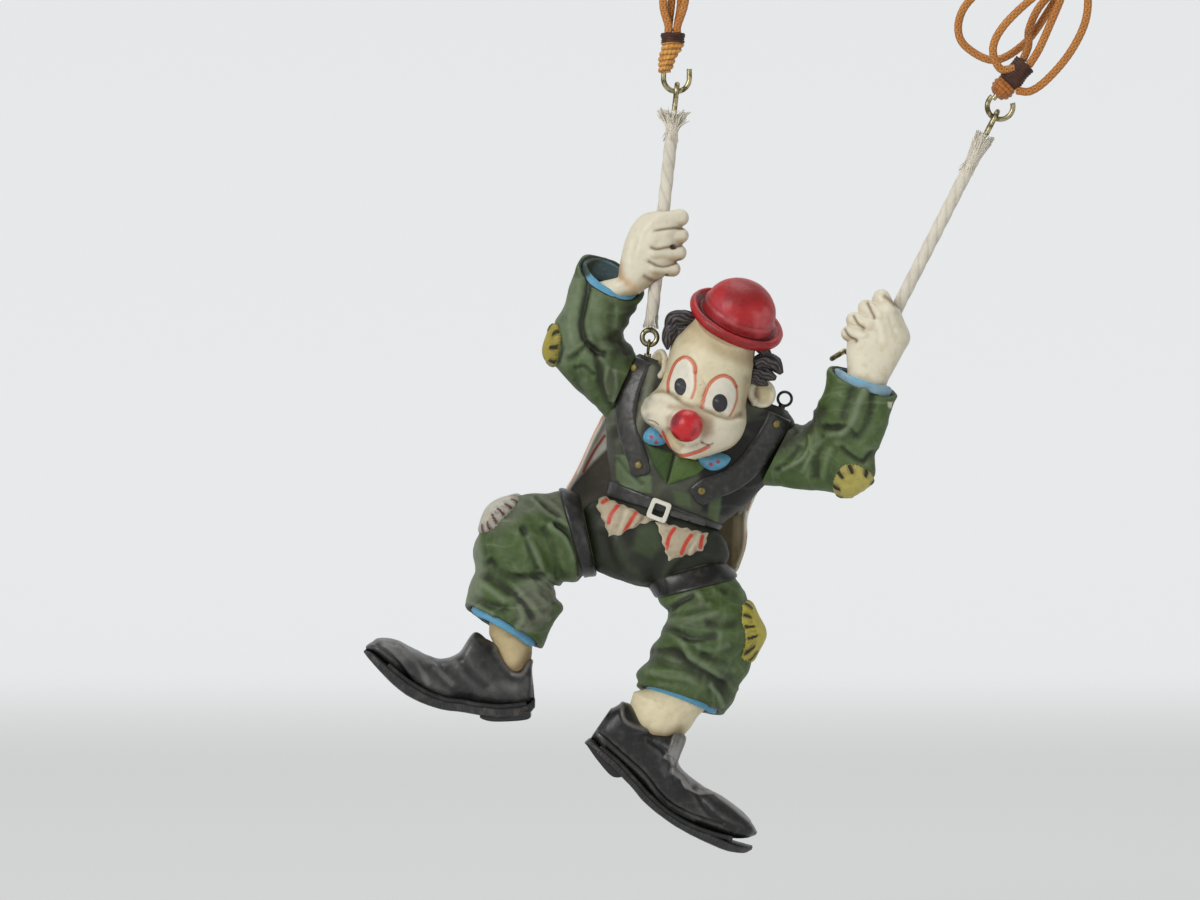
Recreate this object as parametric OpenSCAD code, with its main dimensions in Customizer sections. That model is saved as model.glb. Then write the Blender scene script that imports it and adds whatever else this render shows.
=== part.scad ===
/* [Lines] */
// Diameter of the silky braided line
line_d = 3.4; // [3:0.1:3.8]
// Diameter of the wire of the hooks and rope eyes
wire_d = 2.2; // [2:0.1:2.4]
// Radius of the open hooks, to the middle of their wire
hook_r = 5.4; // [5:0.1:6]

/* [Ropes] */
// Diameter of the cotton ropes
rope_d = 5.5; // [5:0.1:5.8]
// Clearance all round a rope in its fist
rope_play = 0.05; // [0.03:0.01:0.1]
// Length from the right hook to the lower hook of its rope
right_reach = 107; // [104:0.5:108]
// Length from the left hook to the lower end of its rope
left_reach = 115; // [114:0.5:117]

/* [Figure] */
// Thickness of the straps and patches that lie on the clothes
trim = 1.4; // [1:0.1:2]
// Gap below a strap or patch, the thickness of its glue
glue = 0.15; // [0.12:0.01:0.25]
// Radius of the ball nose
nose_r = 6.8; // [6:0.1:7.2]
// Radius of the hat's brim
brim_r = 21; // [19:0.5:22]
// Radius of the hat's crown
crown_r = 15.2; // [14:0.1:16]
// Inner radius of the shoulder eyes
eye_bore_r = 2.3; // [2.2:0.05:2.5]
// Diameter of the wire of the shoulder eyes
eye_wire_d = 1.3; // [1.1:0.1:1.4]

/* [Hidden] */
$fn = 48;
e = 0.01;
wire_r = wire_d / 2;
rope_r = rope_d / 2;
trim_lift = glue + trim;

// Ribs of a form: edge A (x, z), edge B (x, z), how far it comes forward and goes back,
// and how far its back edge leans past its middle
right_sleeve_ribs = [
    [-18.5, -169.5, -30.5, -197, -11, 17, 0],
    [-21.5, -165, -38.5, -189, -11, 16, 0],
    [-23.5, -162, -50.5, -178, -12, 14, 0],
    [-22, -158.5, -56, -167.5, -13, 13, 0],
    [-20, -154.5, -52.5, -156, -13, 12, 0],
    [-17.8, -150, -47.5, -146, -12, 13, -3],
    [-15.8, -146, -43.5, -130.5, -10, 15, -7.5]
];
left_sleeve_ribs = [
    [46.5, -199, 33.5, -224.5, -11, 17, 0],
    [50.5, -199, 44, -226, -12, 15, 0],
    [54, -198, 59.5, -227.5, -15, 12, 0],
    [55.5, -195, 72, -228.5, -19, 6, 0],
    [56.5, -191.5, 81, -221, -24, 0, 0],
    [58.5, -187.5, 82.5, -209, -27, -5, 1],
    [61.5, -176, 90.5, -188.5, -29, -6.5, 3.5]
];
right_leg_ribs = [
    [-42, -228.5, -35, -261.5, -12, 19, 0],
    [-52, -227, -41, -264, -15, 19, 0],
    [-61.5, -228, -47.5, -266, -18, 18, 0],
    [-73.5, -230, -51, -267, -22, 16, 0],
    [-83, -239.5, -52.5, -269, -23, 15, 0],
    [-86.5, -251, -51, -272.5, -22, 14, 0],
    [-87, -262, -49.5, -278, -20, 14, -1],
    [-91, -274, -57.5, -292.5, -20, 15, -3]
];
left_leg_ribs = [
    [17.5, -256, -14.5, -264.5, -12, 19, 0],
    [23.5, -263.5, -10, -272, -18, 17, 0],
    [27.5, -271.5, -5.5, -278.5, -25, 13, 0],
    [30.5, -280.5, -7.5, -285, -29, 10, 0],
    [32, -291, -11.5, -291, -29, 10, 0],
    [29, -302.5, -14.5, -298, -26, 11, 0],
    [24.5, -311.5, -18.5, -304.5, -23, 12, 1],
    [19.5, -321, -18, -308.5, -22, 13, 3]
];
seat_ribs = [
    [-30, -229.5, 15.5, -243.5, -12, 20],
    [-38, -233, 18.5, -247, -13, 21],
    [-43, -240, 20, -251, -14, 22],
    [-42, -250, 20, -256, -14, 22],
    [-38, -258, 14, -263, -12, 20],
    [-30, -263, 2, -266.5, -9, 17],
    [-21, -266, -9, -268.5, -3, 11]
];
jacket_ribs = [
    [-17, -169.5, 45.5, -193.5, -9, 17],
    [-22, -173, 48.5, -199.5, -12, 19],
    [-28.5, -182.5, 46, -208.5, -14, 21],
    [-31, -193, 40.5, -217.5, -15, 22],
    [-31, -203.5, 33.5, -227, -15, 22],
    [-30, -214, 26, -234.5, -14, 21],
    [-28.5, -222.5, 17.5, -241, -13, 20],
    [-30, -229.5, 15.5, -243.5, -12, 20]
];
head_ribs = [
    [13, -139, 38.5, -151, -17, 8],
    [9, -148, 35.5, -160.5, -22, 12],
    [3.5, -156, 31.5, -168, -26, 14],
    [-3, -164, 31, -174.5, -28, 15],
    [-5.5, -173, 29.5, -182.5, -29, 14],
    [-8, -181.5, 27.5, -190, -31, 12],
    [-13, -187, 27.5, -195, -35, 6],
    [-16.5, -192.5, 27, -200, -38, 0],
    [-15, -198, 25, -205, -38, -4],
    [-9, -202.5, 21, -209, -37, -8],
    [-5, -208.5, 13, -212, -34.5, -14],
    [0, -213, 6, -214, -32, -20]
];
back_ribs = [
    [-30.5, -195.5, 36, -219, 13, 24.8],
    [-35, -206, 34, -226.5, 15, 26.5],
    [-42, -220.5, 29.5, -238, 18, 30],
    [-49, -230, 29, -250.5, 22, 34],
    [-50, -238, 25, -262.5, 24, 35]
];
right_shin_ribs = [
    [-80, -287.5, -62, -295, -12, 5],
    [-77, -295, -62.5, -299.5, -12, 4],
    [-75, -303, -62.5, -305, -11, 3],
    [-73, -309, -63.5, -310, -9, 1]
];
left_shin_ribs = [
    [-19.5, -311.5, 7.5, -321.5, -18, 4],
    [-21, -316.5, 3.5, -327.5, -18, 3],
    [-22, -323, -2, -333, -16, 0],
    [-20, -329, -8, -338, -14, -2]
];
right_hand_ribs = [
    [-26, -137.5, -17, -144.5, -7, 7],
    [-25, -130, -14.5, -142.5, -7.5, 8],
    [-23, -122, -6.5, -137, -8.5, 8.5],
    [-20, -115.5, -2, -130, -9, 8.5],
    [-15.5, -111, 0, -121, -9, 8],
    [-9.5, -109.5, 0.5, -112.5, -6, 6]
];
left_hand_ribs = [
    [69.5, -178, 86.5, -181, -25, -10],
    [69.3, -168, 93, -169.5, -20, -5.5],
    [70.5, -162.5, 96.5, -163, -17, 6],
    [73.5, -156, 94, -156, -15.5, 8],
    [78.5, -151, 91.5, -150, -13, 8],
    [84, -147, 88.5, -147, -8, 6]
];
right_shoe_ribs = [
    [-62, -304, -61, -314, -8, 0],
    [-63, -298, -64.5, -316.5, -12, 4],
    [-70.5, -301, -73.5, -317.5, -14, 6],
    [-78, -293, -82.5, -317, -14.5, 6.5],
    [-86, -286.5, -91, -315.5, -14.5, 6.5],
    [-93, -295, -98, -314.5, -15, 7],
    [-102, -297.5, -106, -311.5, -16, 8],
    [-111, -293.5, -114, -306.5, -17, 9],
    [-119.5, -289.5, -122, -300, -17, 9],
    [-127, -289, -128, -295, -15, 7],
    [-131.5, -292, -131.5, -293.5, -9, 1]
];
right_sole_ribs = [
    [-61, -314, -61, -318, -9, 1],
    [-64.5, -316.5, -64.5, -321, -13, 5],
    [-73.5, -317.5, -73.5, -322, -15, 7],
    [-82.5, -317, -83, -321, -15.5, 7.5],
    [-91, -315.5, -91.5, -319.5, -15.5, 7.5],
    [-98, -314.5, -99.5, -318.5, -16, 8],
    [-106, -311.5, -108.5, -315.5, -17, 9],
    [-114, -306.5, -117, -310.5, -18, 10],
    [-122, -300, -124.5, -303.5, -18, 10],
    [-128, -295, -130, -297.5, -16, 8],
    [-131.5, -293.5, -132.5, -294.5, -10, 2]
];
left_shoe_ribs = [
    [-29, -318, -37.5, -330.5, -16, -4],
    [-21.5, -316, -33.5, -334, -19, -1],
    [-14, -326, -25, -341.5, -20, 0],
    [-6, -328.5, -18.5, -348.5, -20.5, 0.5],
    [2, -330, -13.5, -354, -20.5, 0.5],
    [-1, -341, -5.5, -361, -21, 1],
    [8.5, -350, 4, -366.5, -22, 2],
    [17.5, -355, 13.5, -370, -23, 3],
    [25.5, -361, 21.5, -372, -23, 3],
    [30, -366, 27.5, -372, -20, 0],
    [32, -369.5, 31, -371, -14, -6]
];
left_sole_ribs = [
    [-37.5, -330.5, -40, -332.5, -17, -3],
    [-33.5, -334, -35.5, -336.5, -20, 0],
    [-25, -341.5, -27, -344, -21.5, 1.5],
    [-18.5, -348.5, -20.5, -350.5, -22, 2],
    [-13.5, -354, -15.5, -356.5, -22, 2],
    [-5.5, -361, -7, -363.5, -22, 2],
    [4, -366.5, 2.5, -369.5, -23, 3],
    [13.5, -370, 12, -374, -24, 4],
    [21.5, -373.5, 19.5, -377, -23.5, 3.5],
    [27.5, -375, 26, -378, -20, 0],
    [30, -375.5, 29.5, -377, -15, -5]
];

// Fingers: radius, then knuckle, first joint and second joint
right_fingers = [
    [3.8, [-9.5, -5.5, -114.5], [0, -2, -112.6], [-1.5, 5, -113], [-8, 6, -114]],
    [3.6, [-10, -6, -121], [0.1, -2.5, -120], [-1.5, 5, -120], [-9, 6, -121]],
    [3.6, [-11, -6, -127.5], [-0.8, -2.5, -127.2], [-2.5, 5, -127], [-10, 6, -127.5]],
    [3.3, [-11.5, -5, -133.5], [-3, -2, -134.1], [-5, 4, -133.5], [-11, 5, -133]]
];
left_fingers = [
    [3.7, [87, -10.5, -152], [84.2, -8, -146.3], [84, 2, -148], [90, 5, -152]],
    [3.5, [83, -12, -155], [77.7, -9, -150.5], [79, 2, -151.5], [87, 5, -156]],
    [3.4, [79, -13, -158.5], [72.6, -10, -155.6], [75, 1, -156], [83.5, 4.5, -160]],
    [3.3, [77, -13.5, -163], [70.3, -11, -161.3], [73.5, -1, -161], [80, 3, -162]]
];

// Forms: ribs, squareness, depth of the folds, folds for each rib, how far a fold slants, sides
sleeve_right = [right_sleeve_ribs, 0.9, 0.09, 0.75, 1, 22];
sleeve_left = [left_sleeve_ribs, 0.9, 0.09, 0.75, -1, 22];
leg_right = [right_leg_ribs, 0.9, 0.1, 0.7, 1, 22];
leg_left = [left_leg_ribs, 0.9, 0.1, 0.7, -1, 22];
seat = [seat_ribs, 0.9, 0, 0, 0, 24];
coat = [jacket_ribs, 0.85, 0, 0, 0, 24];
skull = [head_ribs, 0.92, 0, 0, 0, 24];
shin_right = [right_shin_ribs, 1, 0, 0, 0, 16];
shin_left = [left_shin_ribs, 1, 0, 0, 0, 16];
fist_right = [right_hand_ribs, 0.9, 0, 0, 0, 18];
fist_left = [left_hand_ribs, 0.9, 0, 0, 0, 18];
upper_right = [right_shoe_ribs, 0.8, 0, 0, 0, 18];
upper_left = [left_shoe_ribs, 0.8, 0, 0, 0, 18];
tread_right = [right_sole_ribs, 0.35, 0, 0, 0, 16];
tread_left = [left_sole_ribs, 0.35, 0, 0, 0, 16];

// Where the two ropes hang: the middle of the wire at the foot of each open hook
right_hook = [-1.5, 0, -59.4];
left_hook = [132, 0, -70.5];
right_rope_dir = unit([-11.6, 0, -106.3]);
left_rope_dir = unit([-36.9, 0, -72.3]);
// Places along a rope, from its hook down
collar_from = 8;
right_collar_to = 17;
left_collar_to = 22;
right_tassel_from = 94;
right_tassel_to = 99.6;
left_tassel_from = 110.5;
lower_hook_r = 3.1;
eye_r = 3;
shoulder_eye_r = eye_bore_r - 0.1 + eye_wire_d / 2;
// Middle of the right shoulder eye, below the wire that hangs in it
right_eye_at = right_hook + right_rope_dir * (right_reach + eye_bore_r - wire_r - 0.1);
left_eye_at = [44, 0, -188.5];
// The free hook at the lower end of the left rope
free_hook_at = [66.5, 0, -170];
free_hook_dir = unit([-18, 0, -11]);
shoulder_slope = atan2(24, 62.5);
right_rope_lean = atan2(-right_rope_dir[0], -right_rope_dir[2]);

// Free silky lines: round points by hand, from the whipping to the knot
right_whip_at = [-3, 0, -35];
right_whip_len = 4;
right_knot_foot = -4;
right_routes = [
    [[-4.8, -1.9, -35], [-4.9, -1.9, -32], [-7, -2, -24], [-6.5, -2, -16], [-3.5, -2, -8], [-3.4, -2, -4]],
    [[-4.8, 1.9, -35], [-4.8, 1.9, -32], [-3.8, 2.2, -24], [-3.2, 2.2, -16], [-3, 1.9, -8], [-3, 1.9, -4]],
    [[-1.2, 1.9, -35], [-1.1, 1.9, -32], [0.2, 2.2, -24], [0.6, 2.2, -16], [0.6, 1.9, -8], [0.6, 1.9, -4]],
    [[-1.2, -1.9, -35], [-1.1, -1.9, -32], [1.6, -2, -24], [2.6, -2, -16], [1, -1.9, -8], [0.9, -1.9, -4]]
];
left_whip_lean = 42;
left_whip_foot = [137.5, 0, -56];
left_whip_len = 11;
left_knot_at = [164, 0, -6];
left_routes = [
    [[146.3, -1.6, -48.8], [150.5, -2, -42], [155, -2, -32], [160, -1.5, -20], [162, -1.5, -12]],
    [[144.2, 2.6, -46.1], [146.6, 4, -40], [147, 5, -33], [151, 5, -24], [158, 3, -16], [161, 2, -12]],
    [[140, -3, -50], [134, -4.5, -50], [131, -6, -42], [135, -7, -33], [146, -7, -22], [159, -4, -12.5]],
    [
        [141.5, -1, -59.2], [147, -4, -59.5], [154, -5.5, -54.5], [163, -5, -44],
        [169.5, -4, -31.5], [171, -3, -20], [168.3, -2.2, -10.8]
    ],
    [
        [163, 5.5, -12], [156, 8, -24], [146, 10, -38], [133, 10, -45.5], [121, 10, -40],
        [117.5, 10, -32], [121, 10, -22], [132, 9, -13], [148, 7, -9], [159, 3, -8]
    ]
];

function unit(v) = v / norm(v);
function mean(points) = [for (i = [0:2]) [for (p = points) p[i]] * [for (p = points) 1] / len(points)];
function flat(lists) = [for (l = lists) each l];
function curve(a, b, c, d, t) =
    (2 * b + (c - a) * t + (2 * a - 5 * b + 4 * c - d) * t * t + (3 * b - a - 3 * c + d) * t * t * t) / 2;

// Value of a list at place s, on a smooth curve through all its entries
function along(list, s) =
    let (last = len(list) - 1, i = max(0, min(floor(s), last - 1)))
    let (before = i > 0 ? list[i - 1] : 2 * list[0] - list[1])
    let (after = i + 2 <= last ? list[i + 2] : 2 * list[last] - list[last - 1])
    curve(before, list[i], list[i + 1], after, s - i);

// Point of a form at place s and angle t, grown outward by out and scaled by k in its rib
function spot(form, s, t, out = 0, k = 1) =
    let (v = along(form[0], s), a = [v[0], v[1]], b = [v[2], v[3]])
    let (c = (a + b) / 2, half = norm(b - a) / 2, dir = unit(b - a), ahead = [-dir[1], dir[0]])
    let (y = (v[4] + v[5]) / 2, deep = (v[5] - v[4]) / 2, lean = len(v) > 6 ? v[6] : 0)
    let (x = sign(cos(t)) * pow(abs(cos(t)), form[1]), w = sign(sin(t)) * pow(abs(sin(t)), form[1]))
    let (fold = 1 - form[2] * (0.5 - 0.5 * cos(360 * form[3] * s + form[4] * t)))
    let (n = unit([cos(t) / half, sin(t) / deep]), u = half * x * fold * k + out * n[0])
    let (p = c + dir * u + ahead * lean * w * k)
    [p[0], y + deep * w * fold * k + out * n[1], p[1]];

// Place and angle on the front of a form for a point (x, z) of the picture
function side_of(form, s, p) =
    let (v = along(form[0], s))
    (v[2] - v[0]) * (p[1] - v[1]) - (v[3] - v[1]) * (p[0] - v[0]);
function find_rib(form, p, low, high, n) =
    let (m = (low + high) / 2)
    n == 0 ? m :
    side_of(form, low, p) * side_of(form, m, p) <= 0 ? find_rib(form, p, low, m, n - 1) :
    find_rib(form, p, m, high, n - 1);
function place_at(form, p) =
    let (s = find_rib(form, p, 0, last(form), 12), v = along(form[0], s))
    let (a = [v[0], v[1]], b = [v[2], v[3]])
    let (u = max(-0.99, min(0.99, (p - (a + b) / 2) * (b - a) * 2 / pow(norm(b - a), 2))))
    [s, 360 - acos(sign(u) * pow(abs(u), 1 / form[1]))];

function ring(form, s, k = 1, out = 0) =
    [for (i = [0:form[5] - 1]) spot(form, s, 360 * i / form[5], out, k)];
function rings(form, from, to, steps, k = 1) =
    [for (i = [0:steps]) ring(form, from + (to - from) * i / steps, k)];
function last(form) = len(form[0]) - 1;
function swept_volume(points, faces) =
    [for (f = faces) points[f[0]] * cross(points[f[1]], points[f[2]])] * [for (f = faces) 1];

// A closed solid, with its faces turned outward whichever way its points run
module solid(points, faces) {
    inside_out = swept_volume(points, faces) > 0;
    polyhedron(points, inside_out ? [for (f = faces) [f[0], f[2], f[1]]] : faces, convexity = 6);
}

// A closed skin through rings of equal length, with a fan over each end
module skin(all_rings) {
    n = len(all_rings[0]);
    m = len(all_rings);
    points = concat(flat(all_rings), [mean(all_rings[0]), mean(all_rings[m - 1])]);
    sides = [
        for (j = [0:m - 2], i = [0:n - 1])
            let (a = j * n + i, b = j * n + (i + 1) % n)
                each [[a, b, b + n], [a, b + n, a + n]]
    ];
    ends = [
        for (i = [0:n - 1])
            let (a = i, b = (i + 1) % n)
                each [[n * m, b, a], [n * m + 1, n * (m - 1) + a, n * (m - 1) + b]]
    ];
    solid(points, concat(sides, ends));
}

// A limb of convex rings, each pair of them wrapped in one piece
module limb(all_rings) {
    n = len(all_rings[0]);
    for (j = [0:len(all_rings) - 2])
        hull()
            polyhedron(
                concat(all_rings[j], all_rings[j + 1]),
                [[for (i = [0:n - 1]) i], [for (i = [0:n - 1]) n + i]]
            );
}
// A closed skin with no ends: the last ring joins the first
module band(all_rings) {
    n = len(all_rings[0]);
    m = len(all_rings);
    faces = [
        for (j = [0:m - 1], i = [0:n - 1])
            let (a = j * n + i, b = j * n + (i + 1) % n, c = (j + 1) % m * n)
                each [[a, b, c + (i + 1) % n], [a, c + (i + 1) % n, c + i]]
    ];
    solid(flat(all_rings), faces);
}

// A plate between two open grids of points of the same size
module plate(under, over) {
    m = len(under);
    n = len(under[0]);
    grids = m * n;
    cells = [
        for (j = [0:m - 2], i = [0:n - 2])
            let (a = j * n + i, b = a + 1, c = a + n + 1, d = a + n, o = grids)
                each [[a, b, c], [a, c, d], [a + o, c + o, b + o], [a + o, d + o, c + o]]
    ];
    rim = concat(
        [for (i = [0:n - 1]) i],
        [for (j = [1:m - 1]) j * n + n - 1],
        [for (i = [n - 2:-1:0]) (m - 1) * n + i],
        [for (j = [m - 2:-1:1]) j * n]
    );
    walls = [
        for (k = [0:len(rim) - 1])
            let (a = rim[k], b = rim[(k + 1) % len(rim)])
                each [[b, a, a + grids], [b, a + grids, b + grids]]
    ];
    solid(concat(flat(under), flat(over)), concat(cells, walls));
}

// A plate that lies on a form, where place(u, v) gives its place along and its angle
module laid_on(form, place, nu, nv, lift = trim_lift, under = glue, bulge = 0) {
    cells = [for (i = [0:nu]) [for (j = [0:nv]) [i / nu, j / nv]]];
    low = [
        for (row = cells) [for (c = row) let (p = place(c[0], c[1])) spot(form, p[0], p[1], under)]
    ];
    high = [
        for (row = cells) [
            for (c = row)
                let (p = place(c[0], c[1]), b = bulge * sin(180 * c[0]) * sin(180 * c[1]))
                spot(form, p[0], p[1], lift + b)
        ]
    ];
    plate(low, high);
}

// A strap on the front of a form, along a route of the picture, with a rounded end
module strap(form, route, width, steps, lift = trim_lift, under = glue) {
    m = len(route) - 1;
    place = function(u, v)
        let (w = m * u, d = unit(along(route, min(m, w + 0.1)) - along(route, max(0, w - 0.1))))
        let (wide = width * (u > 0.92 ? sqrt(1 - 0.75 * pow((u - 0.92) / 0.08, 2)) : 1))
        place_at(form, along(route, w) + [-d[1], d[0]] * (v - 0.5) * wide);
    laid_on(form, place, steps, 4, lift, under);
}
// A plate on the front of a form between four corners of the picture
module gore(form, a, b, c, d, cells = 6, lift = trim_lift, under = glue, bulge = 0) {
    place = function(u, v) place_at(form, (a * (1 - u) + b * u) * (1 - v) + (d * (1 - u) + c * u) * v);
    laid_on(form, place, cells, cells, lift, under, bulge);
}

// A round patch on a form: a fan of rings round its middle place
module round_patch(form, middle, span, angle, lift = trim_lift, cells = 8, under = glue, bulge = 0) {
    place = function(u, v) [
        middle[0] + span * (u - 0.5) * 2 * sqrt(1 - 0.5 * pow(2 * v - 1, 2)),
        middle[1] + angle * (v - 0.5) * 2 * sqrt(1 - 0.5 * pow(2 * u - 1, 2))
    ];
    laid_on(form, place, cells, cells, lift, under, bulge);
}

// Everything past the plane through A and B that runs front to back, on the side of their left hand
module past(a, b) {
    size = 120;
    translate([a[0], 0, a[1]])
        rotate([0, -atan2(b[1] - a[1], b[0] - a[0]), 0])
            translate([-size / 2, -size / 2, 0])
                cube(size);
}

// A tube along a route, with a ring across it at each point
module cord(route, from_dir, to_dir) {
    m = len(route) - 1;
    function way(i) = i == 0 ? from_dir : i == m ? to_dir : unit(route[i + 1] - route[i - 1]);
    skin([
        for (i = [0:m])
            let (d = unit(way(i)), u = unit(cross(d, [0, 1, 0])), v = cross(d, u))
                [for (k = [0:7]) route[i] + line_d / 2 * (u * cos(45 * k) + v * sin(45 * k))]
    ]);
}
function smooth_route(route, steps) =
    [for (i = [0:steps]) along(route, (len(route) - 1) * i / steps)];

// How far a point stands above the slope of the shoulders
function above_shoulders(at) =
    (at - [jacket_ribs[0][0], 0, jacket_ribs[0][1]]) * [sin(shoulder_slope), 0, cos(shoulder_slope)];

// Turns the Z axis to point along a direction in the plane of the picture
module aim(at, dir) {
    translate(at) rotate([0, atan2(dir[0], dir[2]), 0]) children();
}
// A wire ring in the plane of X and Z
module wire_ring(r, wire) {
    rotate([90, 0, 0]) rotate_extrude() translate([r, 0]) circle(d = wire);
}
module wire_arc(r, from, sweep) {
    rotate([90, 0, 0])
        rotate([0, 0, from])
            rotate_extrude(angle = sweep) translate([r, 0]) circle(d = wire_d);
}
module knot() {
    r = 4.6;
    cylinder(r = r, h = 8, center = true);
    for (z = [-2.4, 0, 2.4])
        translate([0, 0, z]) rotate_extrude() translate([r, 0]) circle(r = 1.2);
}

// Right lines, from the tied knot down to the open hook
module right_line_knot() {
    color("#c77f2b") knot();
}
module right_line(i) {
    route = right_routes[i];
    color("#c77f2b") cord(smooth_route(route, 6), [0, 0, 1], [0, 0, 1]);
}
module right_whipping() {
    color("#5b3a2a") translate(right_whip_at - [0, 0, right_whip_len]) cylinder(r = 5, h = right_whip_len);
}
right_wrap_foot = [-6.9, 0, -51.5];
module right_cord_wrap() {
    top = right_whip_at - [0, 0, right_whip_len];
    color("#d9963c")
        skin([
            for (i = [0:8])
                let (t = i / 8, c = top + (right_wrap_foot - top) * t)
                let (r = 4.8 - 2.6 * t + 0.35 * sin(720 * t))
                    [for (a = [0:22.5:359]) c + [r * cos(a), r * sin(a), 0]]
        ]);
}
module right_open_hook() {
    middle = right_hook + [0, 0, hook_r];
    tip = 4;
    color("#a08a5a") {
        translate(middle) wire_arc(hook_r, 180, 180);
        translate(middle + [hook_r, 0, 0]) cylinder(r = wire_r, h = tip);
        translate(middle - [hook_r, 0, 0]) cylinder(r = wire_r, h = right_wrap_foot[2] - middle[2]);
    }
}

// Rope eye, collar, rope and lower hook, each in a frame whose Z axis runs down the rope
module top_eye() {
    rotate([0, 0, 90]) {
        wire_arc(eye_r, 180, 180);
        for (x = [-eye_r, eye_r]) translate([x, 0, 0]) cylinder(r = wire_r, h = collar_from);
    }
}
module collar(to, flare) {
    profile = [
        [0, collar_from], [flare * 0.8, collar_from], [flare, collar_from + 1.5],
        [flare * 0.72, collar_from + 4.5], [rope_r + 0.3, to], [0, to]
    ];
    rotate_extrude() polygon(profile);
}
module frayed_end(from, to) {
    rotate_extrude()
        polygon([[0, from], [rope_r, from], [rope_r + 0.9, to - 1.5], [rope_r + 0.4, to], [0, to]]);
}
module right_rope_eye() {
    color("#a08a5a") aim(right_hook, right_rope_dir) top_eye();
}
module right_rope_collar() {
    color("#e6dcc4") aim(right_hook, right_rope_dir) collar(right_collar_to, 6.4);
}
module right_rope() {
    length = right_tassel_from - right_collar_to;
    color("#ded2b6")
        aim(right_hook, right_rope_dir) translate([0, 0, right_collar_to]) cylinder(r = rope_r, h = length);
}
module right_rope_end() {
    color("#e6dcc4") aim(right_hook, right_rope_dir) frayed_end(right_tassel_from, right_tassel_to);
}
module right_lower_hook() {
    color("#a08a5a")
        aim(right_hook, right_rope_dir)
            difference() {
                translate([0, 0, right_reach - lower_hook_r]) wire_ring(lower_hook_r, wire_d);
                cylinder(r = 9, h = right_tassel_to);
            }
}

// Left lines, in the frame of the leaning whipping
module left_line_knot() {
    color("#c77f2b") aim(left_knot_at, [0.67, 0, 0.74]) knot();
}
module left_line(i) {
    route = left_routes[i];
    color("#c77f2b")
        difference() {
            cord(
                smooth_route(route, i == 4 ? 15 : 8),
                route[1] - route[0],
                route[len(route) - 1] - route[len(route) - 2]
            );
            if (i == 2) left_band();
        }
}
left_whip_dir = [sin(left_whip_lean), 0, cos(left_whip_lean)];
module left_band() {
    aim(left_whip_foot, left_whip_dir)
        rotate_extrude()
            polygon([[0, 0], [4.2, 0], [5, 3], [4.6, 7], [5, left_whip_len], [0, left_whip_len]]);
}
module left_whipping() {
    color("#5b3a2a") left_band();
}
left_wrap_len = 7;
module left_cord_wrap() {
    color("#d9963c")
        aim(left_whip_foot, left_whip_dir)
            rotate_extrude()
                polygon([[0, -left_wrap_len], [2.6, -left_wrap_len], [4.6, -5], [5, -2], [4.4, 0], [0, 0]]);
}
module left_open_hook() {
    middle = left_hook - left_rope_dir * hook_r;
    end_at = left_whip_foot - left_whip_dir * left_wrap_len;
    start = 128;
    color("#a08a5a") {
        translate(middle) wire_arc(hook_r, start, 375 - start);
        aim(end_at, -left_whip_dir) cylinder(r = wire_r, h = 2);
    }
}
module left_rope_eye() {
    color("#a08a5a") aim(left_hook, left_rope_dir) top_eye();
}
module left_rope_collar() {
    color("#e6dcc4") aim(left_hook, left_rope_dir) collar(left_collar_to, 4.6);
}
module left_rope() {
    length = left_tassel_from - left_collar_to;
    color("#ded2b6")
        aim(left_hook, left_rope_dir) translate([0, 0, left_collar_to]) cylinder(r = rope_r, h = length);
}
module left_rope_end() {
    color("#e6dcc4") aim(left_hook, left_rope_dir) frayed_end(left_tassel_from, left_reach);
}
// The free hook stands out sideways from the end of its rope
module left_lower_hook() {
    rope_foot = left_hook + left_rope_dir * left_reach;
    near = free_hook_at - free_hook_dir * lower_hook_r;
    color("#a08a5a") {
        aim(free_hook_at, free_hook_dir) rotate([0, 0, 90]) wire_ring(lower_hook_r, wire_d);
        aim(rope_foot + left_rope_dir * wire_r, near - rope_foot - left_rope_dir * wire_r)
            cylinder(r = wire_r, h = norm(near - rope_foot - left_rope_dir * wire_r));
        translate(rope_foot + left_rope_dir * wire_r) sphere(r = wire_r);
    }
}

// Clothes
module jacket() {
    r0 = right_sleeve_ribs[0];
    l0 = left_sleeve_ribs[0];
    color("#3f6b3a")
        difference() {
            skin(rings(coat, 0, last(coat), 18));
            past([r0[2], r0[3]], [r0[0], r0[1]]);
            past([l0[0], l0[1]], [l0[2], l0[3]]);
        }
}
module lapels() {
    color("#4d7c40") {
        gore(coat, [-14.5, -207], [-3, -211.5], [-6, -224], [-11.5, -216]);
        gore(coat, [-2, -212], [13, -215], [6.5, -220.6], [-5.5, -224.5]);
    }
}
module bow_tie() {
    seat_at = trim_lift + glue;
    color("#6db3d6") {
        top = seat_at + 1.5;
        gore(coat, [-15.5, -203.5], [-8, -199], [-4.5, -206], [-12, -208.5], 5, top, seat_at, 2.5);
        gore(coat, [7, -211.5], [19.5, -211.5], [19, -216.5], [11, -218.5], 5, top, seat_at, 2.5);
    }
}
right_strap_route = [
    [-15.5, -172], [-18.5, -178], [-21.5, -187], [-22.5, -196], [-20.5, -206], [-17.5, -215], [-16.5, -221]
];
left_strap_route = [
    [41.5, -195.5], [39, -201], [34.5, -208], [28, -217], [20, -223], [11, -226.5], [5.5, -230.5]
];
module harness() {
    r0 = right_sleeve_ribs[0];
    color("#3a3a3c") {
        difference() {
            strap(coat, right_strap_route, 8.5, 12);
            past([r0[2], r0[3]], [r0[0], r0[1]]);
        }
        strap(coat, left_strap_route, 10, 14);
    }
}
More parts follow.
